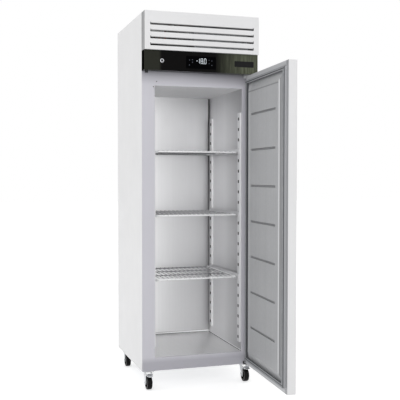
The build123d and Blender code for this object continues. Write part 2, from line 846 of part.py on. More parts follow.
with BuildPart() as door_skin:
    with BuildSketch(on_door(level(door_bottom))):
        with Locations((door_mid_x, sum(door_y) / 2)):
            Rectangle(door_width, door_thickness)
        fillet(vertices().group_by(Axis.Y)[0], door_corner)
    extrude(amount=door_height)
    with BuildSketch(on_door(level(door_bottom + door_skin_sheet))):
        with Locations((door_mid_x, sum(door_y) / 2)):
            Rectangle(door_width - 2 * door_skin_sheet, door_thickness - 2 * door_skin_sheet)
        fillet(vertices().group_by(Axis.Y)[0], door_corner - door_skin_sheet)
    extrude(amount=door_height - 2 * door_skin_sheet, mode=Mode.SUBTRACT)
    # window inside the folded rim, and the openings for the grip, the tongue and the bushes
    with BuildSketch(on_door(facing_front(rim_plane_y))):
        door_rectangle(rim_fold)
    extrude(amount=door_skin_sheet, mode=Mode.SUBTRACT)
    with Locations(open_door):
        block(grip_x, (door_y[0], door_y[0] + door_skin_sheet), (door_bottom, door_top), mode=Mode.SUBTRACT)
        block(
            grip_x,
            (door_y[0], door_y[0] + grip_depth),
            (door_bottom, door_bottom + door_skin_sheet),
            mode=Mode.SUBTRACT,
        )
        block(
            grip_x,
            (door_y[0], door_y[0] + grip_depth),
            (door_top - door_skin_sheet, door_top),
            mode=Mode.SUBTRACT,
        )
        block(pocket_x, pocket_y, (door_top - door_skin_sheet, door_top), mode=Mode.SUBTRACT)
    with BuildSketch(on_door(level(door_bottom))):
        Circle(bush_radius + bush_seat)
    extrude(amount=door_height, mode=Mode.SUBTRACT)
door_skin.part.label = "door_skin"
export_step(door_skin.part, "parts/door_skin.step")

# Grip channel: a full-height trough in the outer face, with a lip to pull on
with BuildPart() as door_grip:
    with BuildSketch(on_door(level(door_bottom))):
        with BuildLine():
            Polyline(
                (grip_x[0], door_y[0]),
                (grip_x[0], door_y[0] + grip_depth),
                (grip_x[1], door_y[0] + grip_depth),
                (grip_x[1], door_y[0]),
                (grip_x[1] - grip_sheet, door_y[0]),
                (grip_x[1] - grip_sheet, door_y[0] + grip_depth - grip_sheet),
                (grip_x[0] + grip_sheet, door_y[0] + grip_depth - grip_sheet),
                (grip_x[0] + grip_sheet, door_y[0] + 4 * grip_sheet),
                (grip_x[0] + 5 * grip_sheet, door_y[0] + 3 * grip_sheet),
                (grip_x[0] + 5 * grip_sheet, door_y[0]),
                close=True,
            )
        make_face()
    extrude(amount=door_height)
door_grip.part.label = "door_grip"
export_step(door_grip.part, "parts/door_grip.step")

# Inner liner: a formed sheet that slopes up from the gasket to a plateau with seven pressed grooves
liner_sheet = 1.5
slope_inset = 49.0
plateau_inset = 92.0
plateau_rise = 18.0
groove_count = 7
lowest_groove = door_bottom + 235.0
highest_groove = door_top - 223.0
groove_pitch = (highest_groove - lowest_groove) / (groove_count - 1)
groove_run = door_width - 260.0
groove_width = 12.0
groove_depth = 5.0
groove_taper = 20.0
groove_places = [(door_mid_x, lowest_groove + groove_pitch * step) for step in range(groove_count)]
plateau_y = rim_plane_y + plateau_rise

# the space behind the liner sheet, which the foam fills
with BuildPart() as liner_core:
    with BuildSketch(on_door(facing_front(rim_plane_y - liner_sheet))):
        door_rectangle(slope_inset + liner_sheet)
    with BuildSketch(on_door(facing_front(plateau_y - liner_sheet))):
        door_rectangle(plateau_inset + liner_sheet / 2)
    loft()
    with BuildSketch(on_door(facing_front(plateau_y - liner_sheet))):
        with Locations(groove_places):
            Rectangle(groove_run + 2 * liner_sheet, groove_width + 2 * liner_sheet)
    extrude(amount=groove_depth, taper=groove_taper, mode=Mode.SUBTRACT)

with BuildPart() as door_liner:
    with BuildSketch(on_door(facing_front(rim_plane_y))):
        door_rectangle(rim_fold)
    extrude(amount=liner_sheet)
    with BuildSketch(on_door(facing_front(rim_plane_y))):
        door_rectangle(slope_inset)
    with BuildSketch(on_door(facing_front(plateau_y))):
        door_rectangle(plateau_inset)
    loft()
    with BuildSketch(on_door(facing_front(plateau_y))):
        with Locations(groove_places):
            Rectangle(groove_run, groove_width)
    extrude(amount=groove_depth, taper=groove_taper, mode=Mode.SUBTRACT)
    add(liner_core.part, mode=Mode.SUBTRACT)
door_liner.part.label = "door_liner"
export_step(door_liner.part, "parts/door_liner.step")

# Foam core between the outer skin and the liner
foam_y = (door_y[0] + door_skin_sheet, rim_plane_y - liner_sheet)
foam_edge = door_corner
bush_play = 6.0
with BuildPart() as door_foam:
    with BuildSketch(on_door(level(door_bottom + door_skin_sheet))):
        with Locations((door_mid_x, sum(foam_y) / 2)):
            Rectangle(door_width - 2 * foam_edge, foam_y[1] - foam_y[0])
    extrude(amount=door_height - 2 * door_skin_sheet)
    add(liner_core.part)
    with Locations(open_door):
        block(grip_x, (door_y[0], door_y[0] + grip_depth), (door_bottom, door_top), mode=Mode.SUBTRACT)
        block(pocket_x, pocket_y, (door_top - pocket_depth, door_top), mode=Mode.SUBTRACT)
    with BuildSketch(on_door(level(door_bottom))):
        Circle(bush_radius + bush_seat)
    extrude(amount=bush_length + bush_play, mode=Mode.SUBTRACT)
    with BuildSketch(on_door(level(door_top))):
        Circle(bush_radius + bush_seat)
    extrude(amount=-bush_length - bush_play, mode=Mode.SUBTRACT)
door_foam.part.label = "door_foam"
export_step(door_foam.part, "parts/door_foam.step")

# Gasket: a base strip, two bellows walls and the magnet strip that meets the frame
gasket_inset = 26.0
gasket_width = 21.0
gasket_layers = ((0.0, 3.0, 0.0), (3.0, 9.6, 3.0), (9.6, gasket_height, 1.0))
with BuildPart() as door_gasket:
    for low, high, narrower in gasket_layers:
        with BuildSketch(on_door(facing_front(rim_plane_y + high))):
            with Locations((door_mid_x, door_mid_z)):
                outer = gasket_inset + narrower
                inner = gasket_inset + gasket_width - narrower
                RectangleRounded(door_width - 2 * outer, door_height - 2 * outer, 4)
                Rectangle(door_width - 2 * inner, door_height - 2 * inner, mode=Mode.SUBTRACT)
        extrude(amount=high - low)
door_gasket.part.label = "door_gasket"
export_step(door_gasket.part, "parts/door_gasket.step")

# Bushes in the door's ends, which turn on the hinge pins
with BuildPart() as door_bushes:
    for start, up in ((door_bottom, 1), (door_top, -1)):
        with BuildSketch(on_door(level(start))):
            Circle(bush_radius)
            Circle(pin_radius + turning_gap, mode=Mode.SUBTRACT)
        extrude(amount=up * bush_length)
door_bushes.part.label = "door_bushes"
export_step(door_bushes.part, "parts/door_bushes.step")

# Compressor: a welded pot with a domed lid, on a foot plate with four rubber feet
pot_x = 120.0 - half_width
pot_y = front_y + 165.0
pot_radius = 82.0
foot_height = 12.0
plate_sheet = 4.0
pot_under = box_top + foot_height + plate_sheet
pot_shoulder = pot_under + 120.0
pot_corner = 14.0
foot_span = 130.0

# the lid's tight outer bend runs into the wide arc of its dome without a kink
lid_corner = 24.0
lid_turn = 34.0
lid_reach = pot_radius - lid_corner
lid_radius = lid_corner + lid_reach / cos(radians(lid_turn))
lid_centre = pot_shoulder - lid_reach * tan(radians(lid_turn))
pot_top = lid_centre + lid_radius
with BuildPart() as compressor:
    with BuildSketch(Plane(origin=(pot_x, pot_y, 0), x_dir=(1, 0, 0), z_dir=(0, -1, 0))):
        with BuildLine():
            Line((0, pot_under), (pot_radius - pot_corner, pot_under))
            CenterArc((pot_radius - pot_corner, pot_under + pot_corner), pot_corner, -90, 90)
            Line((pot_radius, pot_under + pot_corner), (pot_radius, pot_shoulder))
            CenterArc((lid_reach, pot_shoulder), lid_corner, 0, lid_turn)
            CenterArc((0, lid_centre), lid_radius, lid_turn, 90 - lid_turn)
            Line((0, pot_top), (0, pot_under))
        make_face()
    revolve(axis=Axis((pot_x, pot_y, 0), (0, 0, 1)))
    # weld seam around the pot, and the box over the terminals
    with BuildSketch(level(pot_shoulder - 6)):
        with Locations((pot_x, pot_y)):
            Circle(pot_radius + 5)
    extrude(amount=5)
    block(
        (pot_x - 38, pot_x + 38),
        (pot_y + pot_radius - 14, pot_y + pot_radius + 26),
        (pot_under + 30, pot_under + 96),
    )
    with BuildSketch(level(box_top + foot_height)):
        with Locations((pot_x, pot_y)):
            RectangleRounded(foot_span + 44, foot_span + 44, 14)
    extrude(amount=plate_sheet)
    # the feet are separate rubber cups under the plate's corners
    with BuildSketch(level(box_top)):
        with Locations((pot_x, pot_y)):
            with GridLocations(foot_span, foot_span, 2, 2):
                Circle(13)
    extrude(amount=foot_height)
compressor.part.label = "compressor"
export_step(compressor.part, "parts/compressor.step")

# Condenser: a finned block between two end plates, with return bends
coil_x = (pot_x + 180.0, half_width - 40.0)
coil_y = (front_y + 12.0, front_y + 56.0)
coil_z = (box_top + 18.0, box_top + 278.0)
fin_pitch = 10.0
fin_groove = 4.0
fin_groove_depth = 6.0
end_plate = 2.0
tube_radius = 4.5
bend_span = 25.0
bend_count = 4
bend_first = coil_z[0] + 38.0
bend_pitch = 58.0
with BuildPart() as condenser_coil:
    block(coil_x, coil_y, coil_z)
    fin_count = int((coil_x[1] - coil_x[0]) / fin_pitch) - 1
    for face_y in coil_y:
        with Locations((sum(coil_x) / 2, face_y, sum(coil_z) / 2)):
            with GridLocations(fin_pitch, 0, fin_count, 1):
                Box(fin_groove, 2 * fin_groove_depth, coil_z[1] - coil_z[0], mode=Mode.SUBTRACT)
    for end_x in (coil_x[0] - end_plate, coil_x[1]):
        block(
            (end_x, end_x + end_plate),
            (coil_y[0] - 6, coil_y[1] + 6),
            (box_top, coil_z[1] + 6),
        )
    # return bends on the left end plate
    for bend in range(bend_count):
        bend_z = bend_first + bend_pitch * bend
        bend_x = coil_x[0] - end_plate
        with BuildSketch(Plane(origin=(bend_x, sum(coil_y) / 2, bend_z), x_dir=(0, 1, 0), z_dir=(-1, 0, 0))):
            with Locations((0, bend_span / 2)):
                Circle(tube_radius)
        revolve(axis=Axis((bend_x, sum(coil_y) / 2, bend_z), (0, 1, 0)), revolution_arc=180)
condenser_coil.part.label = "condenser_coil"
export_step(condenser_coil.part, "parts/condenser_coil.step")

# Shroud behind the condenser, with the round mouth for the fan
fan_x = sum(coil_x) / 2
fan_z = sum(coil_z) / 2
shroud_sheet = 1.5
shroud_depth = 40.0
fan_radius = 104.0
mouth_radius = fan_radius + 6.0
mouth_rim = 12.0
shroud_y = (coil_y[1] + 6.0, coil_y[1] + 6.0 + shroud_depth)
with BuildPart() as condenser_shroud:
    block((coil_x[0], coil_x[1]), shroud_y, (box_top, coil_z[1]))
    block(
        (coil_x[0] + shroud_sheet, coil_x[1] - shroud_sheet),
        (shroud_y[0], shroud_y[1] - shroud_sheet),
        (box_top + shroud_sheet, coil_z[1] - shroud_sheet),
        mode=Mode.SUBTRACT,
    )
    with BuildSketch(facing_front(shroud_y[1] + mouth_rim)):
        with Locations((fan_x, fan_z)):
            Circle(mouth_radius + shroud_sheet)
    extrude(amount=mouth_rim + shroud_sheet)
    with BuildSketch(facing_front(shroud_y[1] + mouth_rim)):
        with Locations((fan_x, fan_z)):
            Circle(mouth_radius)
    extrude(amount=mouth_rim + shroud_sheet, mode=Mode.SUBTRACT)
condenser_shroud.part.label = "condenser_shroud"
export_step(condenser_shroud.part, "parts/condenser_shroud.step")


def motor_body(x, y, z, radius, length):
    """A fan motor whose front face stands at y, with its shaft pointing to the front."""
    with BuildPart() as motor:
        with BuildSketch(facing_front(y + length)):
            with Locations((x, z)):
                Circle(radius)
        extrude(amount=length)
        fillet(motor.faces().sort_by(Axis.Y)[-1].edges(), 8)
        with BuildSketch(facing_front(y)):
            with Locations((x, z)):
                Circle(shaft_radius)
        extrude(amount=hub_length)
    return motor.part


def fan_blades(x, y, z, radius, hub_radius, hub_length, blade_count):
    """A hub with twisted blades, its shaft bore along Y. The hub starts at y and runs to the front."""
    with BuildPart() as fan:
        for blade in range(blade_count):
            turn = radians(360 / blade_count * blade)
            outwards = Vector(sin(turn), 0, cos(turn))
            along = Vector(cos(turn), 0, -sin(turn))
            middle = Vector(x, y - hub_length / 2, z)
            with BuildSketch(Plane(middle + outwards * (hub_radius - 2), x_dir=along, z_dir=outwards)):
                Rectangle(1.4 * hub_radius, 2.0, rotation=35)
            with BuildSketch(Plane(middle + outwards * radius, x_dir=along, z_dir=outwards)):
                Rectangle(0.6 * radius, 1.4, rotation=18)
            loft()
        with BuildSketch(facing_front(y)):
            with Locations((x, z)):
                Circle(hub_radius)
        extrude(amount=hub_length)
        with BuildSketch(facing_front(y)):
            with Locations((x, z)):
                Circle(shaft_radius + turning_gap)
        extrude(amount=hub_length, mode=Mode.SUBTRACT)
    return fan.part


# Condenser fan, which draws air through the louvres and the coil
shaft_radius = 4.0
hub_length = 30.0
hub_clearance = 2.0
condenser_motor_y = shroud_y[1] + 34.0
arm_reach = mouth_radius + 8.0
arm_y = condenser_motor_y + 10.0
with BuildPart() as condenser_fan_motor:
    add(motor_body(fan_x, condenser_motor_y, fan_z, 42.0, 55.0))
    # four arms that reach out past the mouth and forward to the shroud
    for turn in (45, 135, 225, 315):
        spoke_x = arm_reach * cos(radians(turn))
        spoke_z = arm_reach * sin(radians(turn))
        with BuildSketch(facing_front(arm_y)):
            with Locations(Location((fan_x + spoke_x / 2, fan_z + spoke_z / 2), turn)):
                Rectangle(arm_reach, 8)
        extrude(amount=4)
        with BuildSketch(facing_front(arm_y)):
            with Locations((fan_x + spoke_x, fan_z + spoke_z)):
                Circle(5)
        extrude(amount=arm_y - shroud_y[1])
condenser_fan_motor.part.label = "condenser_fan_motor"
export_step(condenser_fan_motor.part, "parts/condenser_fan_motor.step")

condenser_fan = fan_blades(fan_x, condenser_motor_y - hub_clearance, fan_z, fan_radius, 24.0, hub_length, 5)
condenser_fan.label = "condenser_fan"
export_step(condenser_fan, "parts/condenser_fan.step")

# Evaporator housing: an insulated tub on the deck and its lid
tub_x = (93.0 - half_width, half_width - 99.0)
tub_y = (front_y + 300.0, grille_y - skin - 2.0)
tub_top = box_top + 206.0
tub_wall = 20.0
tub_rear_wall = 12.0
lid_sheet = 16.0
with BuildPart() as evaporator_housing:
    with BuildSketch(level(box_top)):
        with Locations((sum(tub_x) / 2, sum(tub_y) / 2)):
            RectangleRounded(tub_x[1] - tub_x[0], tub_y[1] - tub_y[0], 8)
    extrude(amount=tub_top - box_top)
    block(
        (tub_x[0] + tub_wall, tub_x[1] - tub_wall),
        (tub_y[0] + tub_wall, tub_y[1] - tub_rear_wall),
        (box_top + tub_wall, tub_top),
        mode=Mode.SUBTRACT,
    )
    block(
        (-air_hole_half, air_hole_half),
        (air_hole_front, air_hole_back),
        (box_top, box_top + tub_wall),
        mode=Mode.SUBTRACT,
    )
evaporator_housing.part.label = "evaporator_housing"
export_step(evaporator_housing.part, "parts/evaporator_housing.step")

with BuildPart() as evaporator_lid:
    with BuildSketch(level(tub_top)):
        with Locations((sum(tub_x) / 2, sum(tub_y) / 2)):
            RectangleRounded(tub_x[1] - tub_x[0], tub_y[1] - tub_y[0], 8)
    extrude(amount=lid_sheet)
evaporator_lid.part.label = "evaporator_lid"
export_step(evaporator_lid.part, "parts/evaporator_lid.step")

# Evaporator coil on the tub's floor
evaporator_x = (tub_x[0] + 47.0, tub_x[1] - 46.0)
evaporator_y = (air_hole_front - 127.0, air_hole_front - 22.0)
evaporator_z = (box_top + tub_wall, box_top + tub_wall + 140.0)
evaporator_fin_height = 120.0
with BuildPart() as evaporator_coil:
    block(evaporator_x, evaporator_y, evaporator_z)
    evaporator_fins = int((evaporator_x[1] - evaporator_x[0]) / fin_pitch) - 1
    for face_y in evaporator_y:
        with Locations((sum(evaporator_x) / 2, face_y, sum(evaporator_z) / 2)):
            with GridLocations(fin_pitch, 0, evaporator_fins, 1):
                Box(fin_groove, 2 * fin_groove_depth, evaporator_fin_height, mode=Mode.SUBTRACT)
evaporator_coil.part.label = "evaporator_coil"
export_step(evaporator_coil.part, "parts/evaporator_coil.step")

# Evaporator fan, which blows through the coil
evaporator_fan_x = 0.0
evaporator_fan_z = sum(evaporator_z) / 2
evaporator_fan_radius = 58.0
evaporator_motor_y = evaporator_y[0] - 62.0
with BuildPart() as evaporator_fan_motor:
    add(motor_body(evaporator_fan_x, evaporator_motor_y, evaporator_fan_z, 26.0, 40.0))
    with BuildSketch(facing_front(evaporator_motor_y + 30)):
        with Locations((evaporator_fan_x, (evaporator_z[0] + evaporator_fan_z) / 2)):
            Rectangle(40, evaporator_fan_z - evaporator_z[0])
    extrude(amount=3)
    block(
        (evaporator_fan_x - 20, evaporator_fan_x + 20),
        (evaporator_motor_y + 27, evaporator_motor_y + 60),
        (evaporator_z[0], evaporator_z[0] + 3),
    )
evaporator_fan_motor.part.label = "evaporator_fan_motor"
export_step(evaporator_fan_motor.part, "parts/evaporator_fan_motor.step")

evaporator_fan = fan_blades(
    evaporator_fan_x,
    evaporator_motor_y - hub_clearance,
    evaporator_fan_z,
    evaporator_fan_radius,
    16.0,
    hub_length,
    4,
)
evaporator_fan.label = "evaporator_fan"
export_step(evaporator_fan, "parts/evaporator_fan.step")

# Refrigerant pipes: discharge, liquid with its drier, and suction
pipe_radius = 4.0
bend_radius = 18.0
drier_radius = 13.0
drier_length = 110.0
discharge_x = pot_x + 50.0
liquid_x = pot_x + 128.0
suction_x = pot_x + 20.0
coil_end_x = coil_x[0] - end_plate
coil_middle_y = sum(coil_y) / 2
inlet_z = coil_z[1] - 12.0
outlet_z = coil_z[0] + 12.0
liquid_turn_y = tub_y[0] - 30.0
suction_turn_y = tub_y[0] - 28.0
pipe_runs = (
    (
        (discharge_x, pot_y - 20, pot_shoulder + 10),
        (discharge_x, pot_y - 20, inlet_z),
        (discharge_x, coil_middle_y, inlet_z),
        (coil_end_x, coil_middle_y, inlet_z),
    ),
    (
        (coil_end_x, coil_middle_y, outlet_z),
        (liquid_x, coil_middle_y, outlet_z),
        (liquid_x, liquid_turn_y, outlet_z),
        (liquid_x, liquid_turn_y, box_top + 120),
        (liquid_x, tub_y[0], box_top + 120),
    ),
    (
        (suction_x, tub_y[0], box_top + 160),
        (suction_x, suction_turn_y, box_top + 160),
        (suction_x, suction_turn_y, pot_top + 40),
        (suction_x, pot_y, pot_top + 40),
        (suction_x, pot_y, pot_top - 20),
    ),
)
with BuildPart() as refrigerant_pipes:
    for points in pipe_runs:
        with BuildLine() as run:
            FilletPolyline(*points, radius=bend_radius)
        with BuildSketch(Plane(origin=run.line @ 0, z_dir=run.line % 0)):
            Circle(pipe_radius)
        sweep(path=run.line)
    # filter drier on the liquid line
    with BuildSketch(facing_front(liquid_turn_y - 40)):
        with Locations((liquid_x, outlet_z)):
            Circle(drier_radius)
    extrude(amount=drier_length)
    # the pipes end on the compressor's shell
    add(compressor.part, mode=Mode.SUBTRACT)
refrigerant_pipes.part.label = "refrigerant_pipes"
export_step(refrigerant_pipes.part, "parts/refrigerant_pipes.step")

# Evaporation tray beside the evaporator housing
tray_length = 260.0
tray_x = (tub_x[1] + 10.0, inside_half - 6.0)
tray_y = (tub_y[0] + 20.0, tub_y[0] + 20.0 + tray_length)
tray_height = 44.0
tray_wall = 2.0
with BuildPart() as drip_tray:
    with BuildSketch(level(box_top)):
        with Locations((sum(tray_x) / 2, sum(tray_y) / 2)):
            RectangleRounded(tray_x[1] - tray_x[0], tray_y[1] - tray_y[0], 10)
    extrude(amount=tray_height)
    with BuildSketch(level(box_top + tray_wall)):
        with Locations((sum(tray_x) / 2, sum(tray_y) / 2)):
            RectangleRounded(tray_x[1] - tray_x[0] - 2 * tray_wall, tray_y[1] - tray_y[0] - 2 * tray_wall, 8)
    extrude(amount=tray_height, mode=Mode.SUBTRACT)
drip_tray.part.label = "drip_tray"
export_step(drip_tray.part, "parts/drip_tray.step")

# Castors: plate with king pin on the cabinet, swivelling fork with the axle, and the wheel
wheel_width = 28.0
trail = 25.0
plate_width = 70.0
plate_length = 84.0
castor_plate_sheet = 3.0
race_radius = 24.0
race_depth = 6.0
king_pin_radius = 6.0
crown_sheet = 3.0
crown_gap = 0.4
fork_sheet = 2.5
axle_radius = 4.0
axle_nut = 4.0
axle_nut_radius = 7.5
fork_gap = 2.0
arm_end_radius = 11.0
plate_under = castor_height - castor_plate_sheet
race_under = plate_under - race_depth
crown_top = race_under - crown_gap
crown_under = crown_top - crown_sheet

with BuildPart() as castor_plates:
    for place in castor_places.values():
        with BuildSketch(level(plate_under)):
            with Locations(place):
                RectangleRounded(plate_width, plate_length, 6)
                with GridLocations(plate_hole_x, plate_hole_y, 2, 2):
                    Circle(bolt_radius + bolt_clearance, mode=Mode.SUBTRACT)
        extrude(amount=castor_plate_sheet)
        with BuildSketch(level(race_under)):
            with Locations(place):
                Circle(race_radius - 4)
        with BuildSketch(level(plate_under)):
            with Locations(place):
                Circle(race_radius)
        loft()
        # king pin, with the head that carries the fork
        with BuildSketch(level(race_under)):
            with Locations(place):
                Circle(king_pin_radius)
        extrude(amount=-(crown_gap + crown_sheet + crown_gap))
        with BuildSketch(level(crown_under - crown_gap)):
            with Locations(place):
                Circle(king_pin_radius + 4)
        extrude(amount=-3)
castor_plates.part.label = "castor_plates"
export_step(castor_plates.part, "parts/castor_plates.step")

arm_x = wheel_width / 2 + fork_gap
brake_pivot = (-trail - 16.0, 2 * wheel_radius + 7.0)
brake_pin_radius = 2.5
ear_radius = 5.5

# one flank of a wheel from its bore outwards: boss, recessed web, rim and rounded tread shoulder
half_wheel = wheel_width / 2
right_flank = [
    (half_wheel + 1, axle_radius + turning_gap),
    (half_wheel + 1, 11),
    (half_wheel - 6, 13),
    (half_wheel - 6, 24),
    (half_wheel, 26),
    (half_wheel, wheel_radius - 4),
    (half_wheel - 1.4, wheel_radius - 1.4),
    (half_wheel - 5, wheel_radius),
]
left_flank = [(-along, out) for along, out in right_flank]

for position, place in castor_places.items():
    with BuildPart() as castor_fork:
        with BuildSketch(Plane(origin=(*place, crown_under))):
            with Locations((0, 0)):
                RectangleRounded(2 * (arm_x + fork_sheet), 40, 8)
            Circle(king_pin_radius + turning_gap, mode=Mode.SUBTRACT)
        extrude(amount=crown_sheet)
        for side in (-1, 1):
            inner_x = place[0] + side * arm_x
            outward = Plane(origin=(inner_x, place[1], 0), x_dir=(0, 1, 0), z_dir=(1, 0, 0))
            with BuildSketch(outward):
                with BuildLine():
                    Polyline((-18, crown_top), (18, crown_top), (14, crown_under - 8))
                    Line((14, crown_under - 8), (-trail + arm_end_radius, wheel_radius))
                    RadiusArc(
                        (-trail + arm_end_radius, wheel_radius),
                        (-trail - arm_end_radius, wheel_radius),
                        arm_end_radius,
                    )
                    Line((-trail - arm_end_radius, wheel_radius), (-trail - 4, crown_under - 14))
                    Line((-trail - 4, crown_under - 14), (-18, crown_top))
                make_face()
            extrude(amount=side * fork_sheet)
            if position.startswith("front"):
                # ear for the brake pedal's pin
                with BuildSketch(outward):
                    with BuildLine():
                        Polyline(
                            (brake_pivot[0], brake_pivot[1] + ear_radius),
                            (-12, crown_top - 1),
                            (-12, crown_under - 12),
                            (brake_pivot[0], brake_pivot[1] - ear_radius),
                        )
                        RadiusArc(
                            (brake_pivot[0], brake_pivot[1] - ear_radius),
                            (brake_pivot[0], brake_pivot[1] + ear_radius),
                            ear_radius,
                        )
                    make_face()
                extrude(amount=side * fork_sheet)
        if position.startswith("front"):
            pin_place = (place[0], place[1] + brake_pivot[0], brake_pivot[1])
            with BuildSketch(Plane(origin=pin_place, x_dir=(0, 1, 0), z_dir=(1, 0, 0))):
                Circle(brake_pin_radius)
            extrude(amount=arm_x + fork_sheet + 1.5, both=True)
        # axle with a nut at each end
        axle_place = (place[0], place[1] - trail, wheel_radius)
        axle_plane = Plane(origin=axle_place, x_dir=(0, 1, 0), z_dir=(1, 0, 0))
        with BuildSketch(axle_plane):
            Circle(axle_radius)
        extrude(amount=arm_x + fork_sheet + axle_nut, both=True)
        for side in (-1, 1):
            with BuildSketch(axle_plane.offset(side * (arm_x + fork_sheet))):
                RegularPolygon(axle_nut_radius, 6)
            extrude(amount=side * axle_nut)
    castor_fork.part.label = f"castor_fork_{position}"
    export_step(castor_fork.part, f"parts/castor_fork_{position}.step")

    with BuildPart() as castor_wheel:
        with BuildSketch(Plane(origin=axle_place, x_dir=(1, 0, 0), z_dir=(0, 0, 1))):
            with BuildLine():
                Polyline(*left_flank, *reversed(right_flank), close=True)
            make_face()
        revolve(axis=Axis(axle_place, (1, 0, 0)))
    castor_wheel.part.label = f"castor_wheel_{position}"
    export_step(castor_wheel.part, f"parts/castor_wheel_{position}.step")

# Brake pedals of the front castors, hinged between the arms just under the crown
pedal_width = 24.0
pedal_sheet = 2.5
pedal_reach = 34.0
shoe_width = 5.0
shoe_reach = 8.8
for position in ("front_left", "front_right"):
    place = castor_places[position]
    pivot = Plane(
        origin=(place[0], place[1] + brake_pivot[0], brake_pivot[1]),
        x_dir=(0, 1, 0),
        z_dir=(1, 0, 0),
    )
    with BuildPart() as brake_pedal:
        with BuildSketch(pivot):
            Circle(brake_pin_radius + 3.5)
            with BuildLine():
                Polyline(
                    (-1, -brake_pin_radius - 3),
                    (-1, brake_pin_radius + 3),
                    (-pedal_reach + 8, 2.5),
                    (-pedal_reach, -1.5),
                    (-pedal_reach + 1, -1.5 - pedal_sheet),
                    (-pedal_reach + 9, 2.5 - pedal_sheet),
                    close=True,
                )
            make_face()
            # shoe that swings towards the tread when the pedal is pressed
            with Locations((0, -shoe_reach / 2)):
                Rectangle(shoe_width, shoe_reach)
            Circle(brake_pin_radius + turning_gap, mode=Mode.SUBTRACT)
        extrude(amount=pedal_width / 2, both=True)
    brake_pedal.part.label = f"brake_pedal_{position}"
    export_step(brake_pedal.part, f"parts/brake_pedal_{position}.step")

# Screws: flanged bolts under the castor plates and button heads on the hinge brackets
bolt_head = 6.5
bolt_head_height = 5.3
bolt_flange = 8.5
bolt_flange_height = 1.2
with BuildPart() as fixing_screws:
    for place in castor_places.values():
        with BuildSketch(level(plate_under)):
            with Locations(place):
                with GridLocations(plate_hole_x, plate_hole_y, 2, 2):
                    Circle(bolt_radius)
        extrude(amount=castor_plate_sheet + base_sheet)
        with BuildSketch(level(plate_under)):
            with Locations(place):
                with GridLocations(plate_hole_x, plate_hole_y, 2, 2):
                    Circle(bolt_flange)
        extrude(amount=-bolt_flange_height)
        with BuildSketch(level(plate_under)):
            with Locations(place):
                with GridLocations(plate_hole_x, plate_hole_y, 2, 2):
                    RegularPolygon(bolt_head, 6)
        extrude(amount=-bolt_head_height)
    with BuildSketch(facing_front(front_y + screw_depth)):
        with Locations(*hinge_screws):
            Circle(screw_radius)
    extrude(amount=screw_depth + bracket_sheet)
    with BuildSketch(facing_front(front_y - bracket_sheet)):
        with Locations(*hinge_screws):
            Circle(screw_head_radius)
    extrude(amount=screw_head_height)
fixing_screws.part.label = "fixing_screws"
export_step(fixing_screws.part, "parts/fixing_screws.step")
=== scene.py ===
"""Scene of an upright freezer: procedural materials, small fittings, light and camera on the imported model."""
from math import cos, pi, radians, sin

import bpy
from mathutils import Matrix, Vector

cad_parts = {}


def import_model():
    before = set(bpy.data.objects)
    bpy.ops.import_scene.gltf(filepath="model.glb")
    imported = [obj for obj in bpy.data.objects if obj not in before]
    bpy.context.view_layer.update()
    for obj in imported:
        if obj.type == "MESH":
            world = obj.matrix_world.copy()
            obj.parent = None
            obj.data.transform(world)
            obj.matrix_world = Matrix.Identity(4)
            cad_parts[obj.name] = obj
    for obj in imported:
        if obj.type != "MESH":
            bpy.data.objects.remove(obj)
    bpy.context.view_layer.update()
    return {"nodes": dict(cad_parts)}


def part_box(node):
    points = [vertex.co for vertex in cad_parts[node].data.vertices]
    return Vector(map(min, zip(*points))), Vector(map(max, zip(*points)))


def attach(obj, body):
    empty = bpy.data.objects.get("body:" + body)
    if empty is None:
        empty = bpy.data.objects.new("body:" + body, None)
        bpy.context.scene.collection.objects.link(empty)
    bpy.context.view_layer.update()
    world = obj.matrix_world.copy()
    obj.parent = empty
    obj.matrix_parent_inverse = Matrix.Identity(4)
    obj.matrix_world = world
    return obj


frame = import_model()
nodes = frame["nodes"]

# Axes of the row frame, and the directions along them that a face can look.
X, Y, Z = 0, 1, 2
LEFT, RIGHT = (-1, 0, 0), (1, 0, 0)
FRONT, BACK = (0, -1, 0), (0, 1, 0)
UP, DOWN = (0, 0, 1), (0, 0, -1)

# The open door: its hinge axis, and the directions towards its free edge and out of its inner side.
HINGE = (0.302, -0.033268, 0.0)
OPEN = radians(87)
TO_EDGE = (-cos(OPEN), -sin(OPEN), 0.0)
TO_LINER = (-sin(OPEN), cos(OPEN), 0.0)

# The uprights: from the edge of a channel to its middle, the channel's depth, and the slots up its face.
UPRIGHT_HALF = 0.018
UPRIGHT_DEPTH = 0.008
SLOT_FIRST = 0.256
SLOT_PITCH = 0.059

# Shared by the materials: the noise's roughness and the range that it seldom leaves, the samples of a bevel,
# how far an edge bends the normal where it counts as fully worn, and the fade at the limit of a facing mask.
NOISE_ROUGHNESS = 0.55
NOISE_LOW, NOISE_HIGH = 0.3, 0.7
BEVEL_SAMPLES = 4
EDGE_BEND = 1 / 6
TURN_FADE = 0.05


# Colours are written as they look on a screen, 0 to 255, and turned into the linear values that Blender uses.
def linear(value):
    value = value / 255
    return value / 12.92 if value <= 0.04045 else ((value + 0.055) / 1.055) ** 2.4


def colour(red, green, blue):
    return (linear(red), linear(green), linear(blue), 1.0)


def dimmed(tone, share):
    """The same hue with this share of its light."""
    return tuple(channel * share for channel in tone[:3]) + (1.0,)


